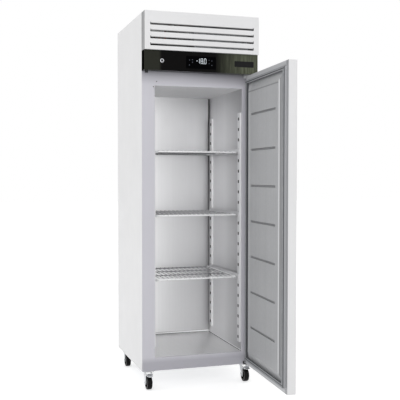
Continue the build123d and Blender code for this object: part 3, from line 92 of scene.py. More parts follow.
class Tree:
    """One procedural material. Its patterns use object coordinates, which are the row frame's metres."""

    def __init__(self, name):
        self.material = bpy.data.materials.new(name)
        self.material.use_nodes = True
        self.nodes = self.material.node_tree.nodes
        self.links = self.material.node_tree.links
        self.nodes.clear()
        output = self.nodes.new("ShaderNodeOutputMaterial")
        self.shader = self.nodes.new("ShaderNodeBsdfPrincipled")
        self.links.new(self.shader.outputs["BSDF"], output.inputs["Surface"])
        self.coordinates = self.nodes.new("ShaderNodeTexCoord")
        self.last_normal = None

    def wire(self, target, value):
        """Links another socket to this one, or sets a plain value on it."""
        if isinstance(value, bpy.types.NodeSocket):
            self.links.new(value, target)
        else:
            target.default_value = value

    def set(self, **values):
        """Sets sockets of the shader; an underscore stands for a space in their names."""
        for key, value in values.items():
            self.wire(self.shader.inputs[key.replace("_", " ")], value)

    def place(self, stretch=(1, 1, 1)):
        """Object coordinates, multiplied along each axis."""
        mapping = self.nodes.new("ShaderNodeMapping")
        mapping.inputs["Scale"].default_value = stretch
        self.links.new(self.coordinates.outputs["Object"], mapping.inputs["Vector"])
        return mapping.outputs["Vector"]

    def noise(self, scale, detail=3.0, stretch=(1, 1, 1)):
        """Cloudy noise with about this many clouds in a metre."""
        node = self.nodes.new("ShaderNodeTexNoise")
        node.inputs["Scale"].default_value = scale
        node.inputs["Detail"].default_value = detail
        node.inputs["Roughness"].default_value = NOISE_ROUGHNESS
        self.links.new(self.place(stretch), node.inputs["Vector"])
        return node.outputs["Fac"]

    def cells(self, scale, output="Distance"):
        """Packed cells, about this many in a metre, as on moulded plastic or zinc."""
        node = self.nodes.new("ShaderNodeTexVoronoi")
        node.inputs["Scale"].default_value = scale
        self.links.new(self.place(), node.inputs["Vector"])
        return node.outputs[output]

    def spread(self, value, low, high, to_low=0.0, to_high=1.0):
        """Turns low into to_low and high into to_high, and holds both beyond."""
        node = self.nodes.new("ShaderNodeMapRange")
        node.clamp = True
        self.links.new(value, node.inputs["Value"])
        node.inputs["From Min"].default_value = low
        node.inputs["From Max"].default_value = high
        node.inputs["To Min"].default_value = to_low
        node.inputs["To Max"].default_value = to_high
        return node.outputs["Result"]

    def falling(self, value, low, high, most=1.0):
        """Most up to low, falling to 0 at high."""
        return self.spread(value, low, high, most, 0.0)

    def vary(self, least, most, scale, detail=3.0, low=NOISE_LOW, high=NOISE_HIGH, stretch=(1, 1, 1)):
        """Noise that wanders between two values; it is cut off below low and above high."""
        return self.spread(self.noise(scale, detail, stretch), low, high, least, most)

    def maths(self, operation, first, second):
        node = self.nodes.new("ShaderNodeMath")
        node.operation = operation
        self.wire(node.inputs[0], first)
        self.wire(node.inputs[1], second)
        return node.outputs[0]

    def chain(self, operation, masks):
        result = masks[0]
        for mask in masks[1:]:
            result = self.maths(operation, result, mask)
        return result

    def both(self, *masks):
        """All masks at once."""
        return self.chain("MULTIPLY", masks)

    def either(self, *masks):
        """The strongest of the masks."""
        return self.chain("MAXIMUM", masks)

    def axis(self, index):
        """One of the row frame's coordinates: X, Y or Z."""
        split = self.nodes.new("ShaderNodeSeparateXYZ")
        self.links.new(self.coordinates.outputs["Object"], split.inputs[0])
        return split.outputs[index]

    def along(self, output, direction):
        """How far a coordinate output reaches in a direction."""
        dot = self.nodes.new("ShaderNodeVectorMath")
        dot.operation = "DOT_PRODUCT"
        self.links.new(self.coordinates.outputs[output], dot.inputs[0])
        dot.inputs[1].default_value = direction
        return dot.outputs["Value"]

    def on_door(self, direction):
        """Distance from the hinge axis along one of the door's own directions."""
        start = sum(place * share for place, share in zip(HINGE, direction))
        return self.maths("SUBTRACT", self.along("Object", direction), start)

    def turned(self, *directions, least=0.8):
        """1 on faces that look along one of these directions of the body at rest."""
        return self.either(*[
            self.spread(self.along("Normal", direction), least, least + TURN_FADE) for direction in directions
        ])

    def band(self, value, low, high, fade):
        """1 between low and high, falling to 0 over the fade."""
        rise = self.spread(value, low - fade, low)
        return self.both(rise, self.falling(value, high, high + fade))

    def within(self, index, low, high, fade):
        """The same band along one of the row frame's axes."""
        return self.band(self.axis(index), low, high, fade)

    def blend(self, amount, first, second):
        """From the first colour to the second as the amount goes from 0 to 1."""
        node = self.nodes.new("ShaderNodeMix")
        node.data_type = "RGBA"
        self.wire(node.inputs[0], amount)
        self.wire(node.inputs[6], first)
        self.wire(node.inputs[7], second)
        return node.outputs[2]

    def mottle(self, first, second, scale, detail=3.0):
        """Clouds of two colours."""
        return self.blend(self.noise(scale, detail), first, second)

    def rounded(self, radius):
        """The normal that the surface would have with its edges rounded by this many metres."""
        bevel = self.nodes.new("ShaderNodeBevel")
        bevel.samples = BEVEL_SAMPLES
        bevel.inputs["Radius"].default_value = radius
        return bevel.outputs["Normal"]

    def edges(self, radius):
        """1 on edges and corners, 0 on flat faces."""
        flat = self.nodes.new("ShaderNodeNewGeometry")
        dot = self.nodes.new("ShaderNodeVectorMath")
        dot.operation = "DOT_PRODUCT"
        self.links.new(self.rounded(radius), dot.inputs[0])
        self.links.new(flat.outputs["Normal"], dot.inputs[1])
        return self.spread(self.maths("SUBTRACT", 1.0, dot.outputs["Value"]), 0.0, EDGE_BEND)

    def wear(self, radius, most, scale, low=0.4, high=0.6):
        """Worn edges, broken up into patches."""
        return self.both(self.edges(radius), self.vary(0.0, most, scale, 4.0, low, high))

    def soften(self, radius):
        """Rounds the look of sharp sheet edges by this many metres."""
        self.last_normal = self.rounded(radius)
        self.links.new(self.last_normal, self.shader.inputs["Normal"])

    def bump(self, height, depth):
        """Raises the surface by height, from 0 to 1, times depth in metres."""
        node = self.nodes.new("ShaderNodeBump")
        node.inputs["Strength"].default_value = 1.0
        node.inputs["Distance"].default_value = depth
        self.links.new(height, node.inputs["Height"])
        if self.last_normal is not None:
            self.links.new(self.last_normal, node.inputs["Normal"])
        self.last_normal = node.outputs["Normal"]
        self.links.new(self.last_normal, self.shader.inputs["Normal"])


# Painted sheet metal. A shades function lays painted light and shade over the base colour.
WORN_PAINT = colour(205, 206, 208)
DOOR_TONE = colour(217, 217, 218)


def powder_coat(name, tone, worn_tone=WORN_PAINT, roughness=0.38, shades=None):
    """Paint with soft clouds, worn edges and a fine orange peel."""
    tree = Tree(name)
    clouds = tree.vary(0.0, 1.0, scale=3.0, detail=4.0)
    base = tree.blend(clouds, dimmed(tone, share=0.965), tone)
    if shades is not None:
        base = shades(tree, base)
    worn = tree.wear(radius=0.0012, most=0.5, scale=60.0, low=0.42, high=0.62)
    tree.set(Base_Color=tree.blend(worn, base, worn_tone))
    tree.set(Roughness=tree.vary(roughness - 0.05, roughness + 0.07, scale=9.0, detail=4.0))
    tree.set(IOR=1.5, Coat_Weight=0.25, Coat_Roughness=0.2)
    tree.soften(radius=0.0008)
    tree.bump(tree.noise(scale=520.0, detail=2.0), depth=0.00012)
    return tree.material


def white_paint():
    return powder_coat("white_paint", colour(223, 223, 224))


def louvre_paint():
    """White in front, with painted shade on the end faces, darker towards the back, and dark painted shade
    where the lips curl into the slots and behind them.
    """
    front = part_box("louvre_panel")[0].y
    slots_across = (-0.302, 0.302)
    slots_up = (1.855, 1.995)
    curl_back = (front + 0.00005, front + 0.0042)
    end_shade_depth = (front, front + 0.070)

    def shades(tree, base):
        slots = tree.both(tree.within(X, *slots_across, fade=0.001), tree.within(Z, *slots_up, fade=0.002))
        # painted shade: dark where the lips curl back into the slots and behind them
        curl_shade = tree.both(tree.spread(tree.axis(Y), *curl_back), slots)
        face = tree.blend(curl_shade, base, colour(26, 26, 27))
        # painted shade on the end faces, darker towards the back
        end_shade = tree.blend(tree.spread(tree.axis(Y), *end_shade_depth), colour(132, 133, 135), colour(100, 101, 103))
        return tree.blend(tree.turned(LEFT, RIGHT), face, end_shade)

    return powder_coat("louvre_paint", colour(222, 222, 223), shades=shades)


def door_paint():
    """The white of the sides, with painted shade on the folded rim around the liner, deeper at the free edge.
    """
    free_edge = (0.590, 0.596)

    def shades(tree, base):
        # painted shade on the rim that faces the liner, deeper at the free edge
        rim_shade = tree.turned(TO_LINER, least=0.6)
        beside = tree.spread(tree.on_door(TO_EDGE), *free_edge)
        return tree.blend(rim_shade, base, tree.blend(beside, colour(190, 191, 194), colour(150, 151, 154)))

    return powder_coat("door_paint", DOOR_TONE, shades=shades)


def frame_paint():
    """Blue grey satin, with painted shade over and under the opening and beside the hinges, deepest over the
    opening towards the hinges.
    """
    tone, worn_tone = colour(195, 194, 201), colour(222, 222, 226)
    over_opening = (1.668, 1.742)
    under_opening = (0.180, 0.150)
    towards_hinges = (0.245, 0.300)
    along_head = (-0.10, 0.30)

    def shades(tree, base):
        # painted shade over and under the opening and beside the hinges, deepest over the opening towards the
        # hinges
        over = tree.spread(tree.axis(Z), *over_opening, to_high=0.95)
        under = tree.spread(tree.axis(Z), *under_opening, to_high=0.6)
        beside = tree.spread(tree.axis(X), *towards_hinges, to_high=0.45)
        corner = tree.both(over, tree.spread(tree.axis(X), *along_head))
        base = tree.blend(tree.either(over, under, beside), base, colour(146, 145, 153))
        return tree.blend(corner, base, colour(112, 111, 118))

    return powder_coat("frame_paint", tone, worn_tone, roughness=0.42, shades=shades)


def painted_steel_black():
    """Compressor and motors: glossy black, worn to bare metal at the edges."""
    tree = Tree("painted_steel_black")
    base = tree.mottle(colour(24, 24, 25), colour(36, 36, 38), scale=12.0, detail=4.0)
    worn = tree.wear(radius=0.0015, most=0.7, scale=70.0)
    tree.set(Base_Color=tree.blend(worn, base, colour(110, 108, 104)))
    tree.set(Roughness=tree.vary(0.28, 0.45, scale=45.0))
    tree.bump(tree.noise(scale=260.0), depth=0.0002)
    return tree.material


def bracket_paint():
    """Hinge brackets: light, with painted shade making the lower one, under the door, dark."""
    tree = Tree("bracket_paint")
    between_brackets = (0.9, 1.0)
    # painted shade: the lower bracket, under the door, is dark
    below = tree.falling(tree.axis(Z), *between_brackets)
    base = tree.blend(below, colour(186, 187, 190), colour(40, 40, 42))
    worn = tree.wear(radius=0.001, most=0.5, scale=80.0)
    tree.set(Base_Color=tree.blend(worn, base, colour(150, 150, 152)))
    tree.set(Roughness=tree.vary(0.3, 0.46, scale=60.0))
    tree.soften(radius=0.0005)
    tree.bump(tree.noise(scale=400.0), depth=0.00008)
    return tree.material


# Bare metals
def galvanised():
    """Zinc coated sheet with its spangle."""
    tree = Tree("galvanised")
    spangle = tree.nodes.new("ShaderNodeSeparateColor")
    tree.links.new(tree.cells(scale=85.0, output="Color"), spangle.inputs[0])
    tone = tree.blend(tree.spread(spangle.outputs[0], 0.0, 1.0), colour(188, 190, 193), colour(203, 205, 208))
    tree.set(Base_Color=tone, Metallic=0.9)
    tree.set(Roughness=tree.spread(spangle.outputs[1], 0.0, 1.0, 0.38, 0.50))
    tree.soften(radius=0.0006)
    tree.bump(tree.noise(scale=140.0), depth=0.00015)
    return tree.material


def zinc():
    """Blotchy zinc plating of castors, pins and screws, polished at the edges."""
    tree = Tree("zinc")
    blotch = tree.vary(0.0, 1.0, scale=90.0, detail=5.0, low=0.35, high=0.65)
    base = tree.blend(blotch, colour(182, 184, 187), colour(214, 215, 217))
    worn = tree.maths("MULTIPLY", tree.edges(radius=0.001), 0.6)
    tree.set(Base_Color=tree.blend(worn, base, colour(232, 232, 233)), Metallic=0.95)
    tree.set(Roughness=tree.vary(0.26, 0.44, scale=150.0, detail=4.0))
    tree.soften(radius=0.0005)
    tree.bump(tree.noise(scale=600.0), depth=0.00005)
    return tree.material


def chrome():
    tree = Tree("chrome")
    tree.set(Base_Color=tree.mottle(colour(214, 215, 218), colour(236, 237, 240), scale=200.0), Metallic=1.0)
    tree.set(Roughness=tree.vary(0.08, 0.2, scale=90.0, detail=4.0))
    tree.soften(radius=0.0003)
    tree.bump(tree.noise(scale=500.0), depth=0.00002)
    return tree.material


def barrel_metal():
    """Dark face of the lock's barrel."""
    tree = Tree("barrel_metal")
    tree.set(Base_Color=tree.mottle(colour(38, 38, 40), colour(62, 62, 65), scale=260.0), Metallic=0.6)
    tree.set(Roughness=tree.vary(0.3, 0.48, scale=120.0, detail=4.0))
    tree.soften(radius=0.0003)
    tree.bump(tree.noise(scale=420.0), depth=0.00004)
    return tree.material


def copper():
    """Refrigerant pipes with brown tarnish."""
    tree = Tree("copper")
    tarnish = tree.vary(0.0, 0.8, scale=45.0, detail=5.0, low=0.4, high=0.68)
    tree.set(Base_Color=tree.blend(tarnish, colour(205, 128, 92), colour(122, 76, 56)), Metallic=1.0)
    tree.set(Roughness=tree.vary(0.22, 0.45, scale=60.0))
    tree.bump(tree.noise(scale=400.0), depth=0.00006)
    return tree.material


def fins():
    """Aluminium coils, ribbed like a pack of thin fins."""
    tree = Tree("fins")
    tone = tree.mottle(colour(184, 187, 190), colour(214, 216, 218), scale=28.0, detail=4.0)
    tree.set(Base_Color=tone, Metallic=1.0)
    tree.set(Roughness=tree.vary(0.3, 0.5, scale=80.0))
    ribs = tree.nodes.new("ShaderNodeTexWave")
    ribs.bands_direction = "X"
    ribs.inputs["Scale"].default_value = 80.0
    tree.links.new(tree.place(), ribs.inputs["Vector"])
    tree.bump(ribs.outputs["Fac"], depth=0.0006)
    return tree.material


# Brushed stainless sheet of the inside
def brushed(name, tone, grain_axis, roughness=0.42, metallic=0.85, shades=None):
    """Fine scratches that run along one axis, in broader streaks."""
    tree = Tree(name)
    broad_share = 0.35
    broad_cells = [60.0, 60.0, 60.0]
    hair_cells = [900.0, 900.0, 900.0]
    broad_cells[grain_axis] = 0.8
    hair_cells[grain_axis] = 12.0
    broad = tree.noise(scale=1.0, detail=2.0, stretch=broad_cells)
    hair = tree.noise(scale=1.0, stretch=hair_cells)
    broad_part = tree.maths("MULTIPLY", broad, broad_share)
    hair_part = tree.maths("MULTIPLY", hair, 1 - broad_share)
    streak = tree.spread(tree.maths("ADD", broad_part, hair_part), NOISE_LOW, NOISE_HIGH)
    base = tree.blend(streak, dimmed(tone, share=0.93), tone)
    if shades is not None:
        base = shades(tree, base)
    tree.set(Base_Color=base, Metallic=metallic)
    tree.set(Roughness=tree.spread(streak, 0.0, 1.0, roughness + 0.06, roughness - 0.04))
    tree.soften(radius=0.0007)
    tree.bump(hair, depth=0.00004)
    return tree.material


def back_sheet():
    """The panel before the rear wall, brighter towards the left, where more light reaches it."""
    bright_to_dim = (-0.10, 0.23)

    def shades(tree, base):
        return tree.blend(tree.spread(tree.axis(X), *bright_to_dim), base, colour(176, 176, 178))

    return brushed("stainless_back", colour(247, 247, 248), Z, shades=shades)


def gap_height(tree):
    """0 low down and 1 high up, because the painted shade in the gaps beside the duct panel deepens towards the
    top.
    """
    lightest, darkest = 0.4, 1.5
    return tree.spread(tree.axis(Z), lightest, darkest)


def rear_shade_sheet():
    """The rear wall behind the duct panel, which only shows as a dark line in the side gaps: painted shade,
    deeper towards the top.
    """
    def shades(tree, base):
        # painted shade, deeper towards the top
        return tree.blend(gap_height(tree), base, colour(110, 110, 112))

    return brushed("stainless_rear_shade", colour(180, 180, 182), Z, shades=shades)


def upright_middles():
    """How far back the middles of the front and the rear uprights stand."""
    low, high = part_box("pilasters")
    return low.y + UPRIGHT_HALF, high.y - UPRIGHT_HALF


def by_uprights(tree, reach, fade):
    """1 within this reach of an upright's middle."""
    front, rear = upright_middles()
    return tree.either(
        tree.within(Y, front - reach, front + reach, fade),
        tree.within(Y, rear - reach, rear + reach, fade),
    )


def wall_sheet():
    """The side walls, with painted shade towards the front and in the gaps behind the duct panel, and dark
    painted shadow where the uprights stand before them.
    """
    front = upright_middles()[0]
    duct_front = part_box("duct_panel")[0].y
    uprights_up = (0.228, 1.530)
    shaded_depth = 0.26
    panel_skin = 0.001

    def shades(tree, base):
        # painted shade, darker towards the front
        front_shade = tree.spread(tree.axis(Y), front + shaded_depth, front)
        base = tree.blend(front_shade, base, colour(196, 196, 198))
        # painted shade in the gaps behind the duct panel, deeper towards the top
        behind = tree.spread(tree.axis(Y), duct_front - panel_skin, duct_front + panel_skin)
        gap_shade = tree.blend(gap_height(tree), colour(190, 190, 192), colour(120, 120, 122))
        base = tree.blend(behind, base, gap_shade)
        # dark painted shadow on the wall where the uprights stand before it, which shows through their slots
        strips = by_uprights(tree, reach=0.016, fade=0.0005)
        upright_shadow = tree.both(tree.within(Z, *uprights_up, fade=0.001), strips)
        return tree.blend(upright_shadow, base, colour(30, 30, 32))

    return brushed("stainless_wall", colour(247, 247, 248), Z, shades=shades)


def upright_sheet():
    """Bright channels, with painted shade towards the front, inside them and round their slots, so that the
    slots read as dark spots.
    """
    front = upright_middles()[0]
    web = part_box("pilasters")[1].x - UPRIGHT_DEPTH
    lit_depth = (front + 0.05, front + 0.3)
    skin_start, skin_end = 0.0002, 0.0006
    slot_rim = (0.0076, 0.0090)

    def shades(tree, base):
        # painted shade, darker towards the front
        base = tree.blend(tree.spread(tree.axis(Y), *lit_depth), colour(226, 226, 228), base)
        from_slot = tree.maths("PINGPONG", tree.maths("SUBTRACT", tree.axis(Z), SLOT_FIRST), SLOT_PITCH / 2)
        # painted shade round each slot
        slot_shade = tree.both(tree.falling(from_slot, *slot_rim), by_uprights(tree, reach=0.0085, fade=0.001))
        base = tree.blend(slot_shade, base, colour(58, 58, 60))
        # painted shade inside the channels
        past_right = tree.spread(tree.axis(X), web + skin_start, web + skin_end)
        past_left = tree.spread(tree.axis(X), -web - skin_start, -web - skin_end)
        channels = by_uprights(tree, reach=0.0168, fade=0.0002)
        channel_shade = tree.both(channels, tree.either(past_right, past_left))
        return tree.blend(channel_shade, base, colour(20, 20, 21))

    tone = colour(238, 238, 239)
    return brushed("stainless_channel", tone, Z, roughness=0.35, metallic=0.25, shades=shades)


def floor_sheet():
    """Polished enough to mirror the walls, with a painted highlight on the upturned lips and painted shade at
    their foot.
    """
    lip_foot = (0.1795, 0.1815)

    def shades(tree, base):
        # painted highlight on the upturned lips and painted shade at their foot
        lips = tree.turned(LEFT, RIGHT, FRONT)
        foot = tree.falling(tree.axis(Z), *lip_foot)
        return tree.blend(lips, base, tree.blend(foot, colour(253, 253, 254), colour(96, 96, 98)))

    return brushed("stainless_floor", colour(254, 254, 254), Y, roughness=0.44, metallic=1.0, shades=shades)


def ceiling_sheet():
    return brushed("stainless_ceiling", colour(250, 250, 251), Y, roughness=0.5, metallic=0.2)


def bright_sheet():
    return brushed("stainless_bright", colour(232, 232, 234), Y, roughness=0.3, metallic=0.6)


def shelf_coating():
    """Coated wire; the wires behind the front rim lie in their own shade, except at the right."""
    tree = Tree("shelf_coating")
    behind_rim = (0.06, 0.10)
    right_rim = (0.215, 0.232)
    base = tree.mottle(colour(242, 243, 244), colour(250, 250, 251), scale=20.0, detail=4.0)
    deepest = 0.85
    deep = tree.spread(tree.axis(Y), *behind_rim, to_high=deepest)
    shaded = tree.both(deep, tree.falling(tree.axis(X), *right_rim))
    tree.set(Base_Color=tree.blend(shaded, base, colour(104, 105, 108)))
    tree.set(Metallic=tree.spread(shaded, 0.0, deepest, 0.2, 0.7))
    tree.set(Roughness=tree.vary(0.24, 0.4, scale=110.0), Coat_Weight=0.3, Coat_Roughness=0.18)
    tree.bump(tree.noise(scale=420.0), depth=0.0002)
    return tree.material


# Plastics, rubber and foam
def black_gloss():
    """The fascia: black, with a dim greenish painted reflection at its left end and in upright streaks towards
    the right.
    """
    tree = Tree("black_gloss")
    left_end = (-0.243, -0.228)
    right_half = (0.075, 0.230)
    base = tree.mottle(colour(5, 4, 4), colour(9, 8, 8), scale=40.0)
    # painted reflection: a dim greenish sheen at the left end and in upright streaks towards the right
    base = tree.blend(tree.falling(tree.axis(X), *left_end, most=0.85), base, colour(44, 45, 39))
    reflection_streaks = tree.vary(0.35, 1.0, scale=1.0, stretch=(75, 1, 7))
    base = tree.blend(tree.both(tree.spread(tree.axis(X), *right_half), reflection_streaks), base, colour(96, 100, 84))
    side = tree.turned(LEFT, RIGHT)
    tree.set(Base_Color=tree.blend(side, base, colour(1, 1, 1)))
    tree.set(Roughness=tree.vary(0.05, 0.13, scale=18.0, detail=5.0, low=0.35, high=0.75))
    tree.set(IOR=tree.spread(side, 0.0, 1.0, 1.5, 1.01), Specular_IOR_Level=0.06)
    tree.soften(radius=0.0012)
    tree.bump(tree.noise(scale=30.0, detail=2.0), depth=0.00008)
    return tree.material


def display_glass():
    tree = Tree("display_glass")
    tree.set(Base_Color=tree.mottle(colour(1, 1, 2), colour(4, 4, 5), scale=25.0))
    tree.set(Roughness=tree.vary(0.10, 0.17, scale=22.0, detail=4.0), IOR=1.46, Specular_IOR_Level=0.02)
    return tree.material


def lit_segment():
    tree = Tree("lit_segment")
    lit = tree.mottle(colour(215, 226, 236), colour(240, 246, 250), scale=300.0)
    tree.set(Base_Color=lit, Emission_Color=lit, Emission_Strength=0.9, Roughness=0.4)
    return tree.material


def dim_segment():
    tree = Tree("dim_segment")
    tree.set(Base_Color=tree.mottle(colour(66, 72, 84), colour(92, 98, 110), scale=300.0), Roughness=0.35)
    return tree.material


def dark_plate():
    """Black plate with a grain across it."""
    tree = Tree("dark_plate")
    tree.set(Base_Color=tree.mottle(colour(12, 12, 13), colour(20, 20, 21), scale=60.0))
    tree.set(Roughness=tree.vary(0.3, 0.45, scale=1.0, detail=2.0, stretch=(30, 30, 900)))
    tree.set(Specular_IOR_Level=0.15)
    tree.bump(tree.noise(scale=1.0, detail=2.0, stretch=(20, 20, 1200)), depth=0.00003)
    return tree.material


def black_plastic():
    tree = Tree("black_plastic")
    tree.set(Base_Color=tree.mottle(colour(30, 30, 32), colour(42, 42, 44), scale=30.0))
    tree.set(Roughness=tree.vary(0.42, 0.6, scale=200.0))
    tree.soften(radius=0.0005)
    tree.bump(tree.cells(scale=900.0), depth=0.0001)
    return tree.material


def white_plastic():
    tree = Tree("white_plastic")
    tree.set(Base_Color=tree.mottle(colour(222, 222, 218), colour(234, 234, 231), scale=14.0, detail=4.0))
    tree.set(Roughness=tree.vary(0.38, 0.52, scale=120.0))
    tree.soften(radius=0.001)
    tree.bump(tree.cells(scale=700.0), depth=0.00008)
    return tree.material


def grip_plastic():
    """Satin strip with a fine grain along the grip."""
    tree = Tree("grip_plastic")
    tree.set(Base_Color=tree.mottle(colour(160, 161, 164), colour(176, 177, 180), scale=8.0))
    tree.set(Roughness=tree.vary(0.36, 0.48, scale=90.0))
    tree.soften(radius=0.0006)
    tree.bump(tree.noise(scale=1.0, detail=2.0, stretch=(900, 900, 20)), depth=0.00008)
    return tree.material


def pedal_plastic():
    """Metallic grey of the brake pedals."""
    tree = Tree("pedal_plastic")
    tone = tree.mottle(colour(206, 208, 211), colour(226, 227, 229), scale=60.0, detail=4.0)
    tree.set(Base_Color=tone, Metallic=0.7)
    tree.set(Roughness=tree.vary(0.22, 0.36, scale=140.0))
    tree.soften(radius=0.0008)
    tree.bump(tree.noise(scale=500.0), depth=0.00006)
    return tree.material


def liner_plateau(tree, base):
    """A painted highlight beside the hinge, with painted shade in a line along the upper edge and in the
    grooves.
    """
    low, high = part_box("door_liner")
    to_edge, depth = tree.on_door(TO_EDGE), tree.on_door(TO_LINER)
    beside_hinge = (0.090, 0.115)
    upper_line = (high.z - 0.0800, high.z - 0.0755)
    plateau_skin = (0.050, 0.052)
    grooves_across = (0.102, 0.502)
    grooves_deep = (0.0400, 0.0523)
    grooves_up = (low.z + 0.12, high.z - 0.12)
    # painted highlight beside the hinge
    base = tree.blend(tree.falling(to_edge, *beside_hinge, most=0.7), base, colour(190, 191, 193))
    # painted shade in a line along the upper edge
    upper = tree.both(tree.within(Z, *upper_line, fade=0.002), tree.spread(depth, *plateau_skin))
    base = tree.blend(upper, base, colour(128, 129, 131))
    # painted shade in the grooves
    grooves = tree.both(
        tree.band(to_edge, *grooves_across, fade=0.001),
        tree.band(depth, *grooves_deep, fade=0.0005),
        tree.within(Z, *grooves_up, fade=0.001),
    )
    return tree.blend(grooves, base, colour(124, 125, 127))


def liner_slope(tree, base):
    """The slope at the free edge: painted shade, with a painted highlight along it and two fine dark lines."""
    to_edge = tree.on_door(TO_EDGE)
    plateau_end = (0.5345, 0.5350)
    highlight_line = (0.5350, 0.5425)
    dark_lines = ((0.5440, 0.5490), (0.5570, 0.5620))
    fade = 0.001
    # painted shade on the slope, with a painted highlight along it
    dark = tree.either(*[tree.band(to_edge, *line, fade) for line in dark_lines])
    shade = tree.blend(dark, colour(142, 143, 145), colour(122, 123, 125))
    shade = tree.blend(tree.band(to_edge, *highlight_line, fade), shade, colour(196, 197, 199))
    shade = tree.blend(tree.falling(to_edge, *plateau_end), shade, colour(160, 161, 163))
    return tree.blend(tree.turned(FRONT, least=0.25), base, shade)


def liner_plastic():
    """Grey moulded liner with a faint upright grain."""
    tree = Tree("liner_plastic")
    base = tree.mottle(colour(166, 167, 169), colour(174, 175, 177), scale=5.0, detail=4.0)
    grain = tree.vary(0.0, 0.5, scale=1.0, stretch=(60, 60, 0.8))
    base = tree.blend(grain, base, colour(160, 161, 162))
    tree.set(Base_Color=liner_slope(tree, liner_plateau(tree, base)))
    tree.set(Roughness=tree.vary(0.36, 0.5, scale=60.0), IOR=1.46)
    tree.soften(radius=0.0015)
    tree.bump(tree.cells(scale=800.0), depth=0.00007)
    return tree.material


def gasket_rubber():
    """Dusty grey rubber, with painted shade on its flanks and in a groove along its upper and lower strips, and
    painted light on its pale foot at the free edge.
    """
    tree = Tree("gasket_rubber")
    low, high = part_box("door_gasket")
    upper_groove = (high.z - 0.0135, high.z - 0.0095)
    lower_groove = (low.z + 0.0095, low.z + 0.0135)
    groove_fade = 0.0005
    free_edge = (0.590, 0.592)
    foot_top = (0.0440, 0.0450)
    dust = tree.vary(0.0, 0.6, scale=24.0, detail=5.0, low=0.42, high=0.72)
    base = tree.blend(dust, colour(140, 142, 145), colour(160, 162, 164))
    # painted shade on the flanks
    base = tree.blend(tree.turned(FRONT, UP, DOWN, least=0.7), base, colour(84, 86, 89))
    # painted shade in the grooves of the sealing face
    grooves = [tree.within(Z, *groove, groove_fade) for groove in (upper_groove, lower_groove)]
    sealing_face = tree.turned(TO_LINER, least=0.7)
    base = tree.blend(tree.both(tree.either(*grooves), sealing_face), base, colour(44, 45, 48))
    # painted light on the pale foot at the free edge
    beside = tree.spread(tree.on_door(TO_EDGE), *free_edge)
    foot = tree.both(beside, tree.falling(tree.on_door(TO_LINER), *foot_top))
    tree.set(Base_Color=tree.blend(foot, base, colour(172, 173, 176)))
    tree.set(Roughness=tree.vary(0.5, 0.66, scale=90.0), IOR=1.42)
    tree.soften(radius=0.001)
    tree.bump(tree.noise(scale=350.0), depth=0.0001)
    return tree.material


def wheel_radius(tree):
    """Distance from a wheel's axle, where 0.5 is the wheel's own radius."""
    centre = tree.nodes.new("ShaderNodeVectorMath")
    centre.operation = "SUBTRACT"
    tree.links.new(tree.coordinates.outputs["Generated"], centre.inputs[0])
    centre.inputs[1].default_value = (0.5, 0.5, 0.5)
    flat = tree.nodes.new("ShaderNodeVectorMath")
    flat.operation = "MULTIPLY"
    tree.links.new(centre.outputs["Vector"], flat.inputs[0])
    flat.inputs[1].default_value = (0.0, 1.0, 1.0)
    reach = tree.nodes.new("ShaderNodeVectorMath")
    reach.operation = "LENGTH"
    tree.links.new(flat.outputs["Vector"], reach.inputs[0])
    return reach.outputs["Value"]


def wheel_rubber():
    """Glossy black hub and a softer, scuffed tread."""
    tree = Tree("wheel_rubber")
    hub_to_tread = (0.395, 0.405)
    tread = tree.spread(wheel_radius(tree), *hub_to_tread)
    scuff = tree.vary(0.0, 0.5, scale=70.0, detail=5.0, low=0.45, high=0.75)
    rubber = tree.blend(scuff, colour(4, 4, 5), colour(18, 18, 18))
    hub = tree.mottle(colour(3, 3, 4), colour(9, 9, 10), scale=30.0)
    tree.set(Base_Color=tree.blend(tread, hub, rubber))
    tree.set(Roughness=tree.spread(tread, 0.0, 1.0, 0.14, 0.3), IOR=1.5, Specular_IOR_Level=0.12)
    tree.soften(radius=0.0006)
    tree.bump(tree.noise(scale=300.0), depth=0.00012)
    return tree.material


def foam_tone(tree):
    return tree.mottle(colour(206, 190, 138), colour(226, 212, 164), scale=60.0, detail=4.0)


def foam():
    tree = Tree("foam")
    tree.set(Base_Color=foam_tone(tree), Roughness=0.9)
    tree.bump(tree.cells(scale=500.0), depth=0.0004)
    return tree.material


def door_filling():
    """Foam whose outer face has the paint's tone, as it shows in the slit beside the hinge."""
    tree = Tree("door_filling")
    outer_face = (-0.0080, -0.0070)
    outer = tree.falling(tree.on_door(TO_LINER), *outer_face)
    tree.set(Base_Color=tree.blend(outer, foam_tone(tree), DOOR_TONE), Roughness=0.7)
    tree.bump(tree.cells(scale=500.0), depth=0.0002)
    return tree.material


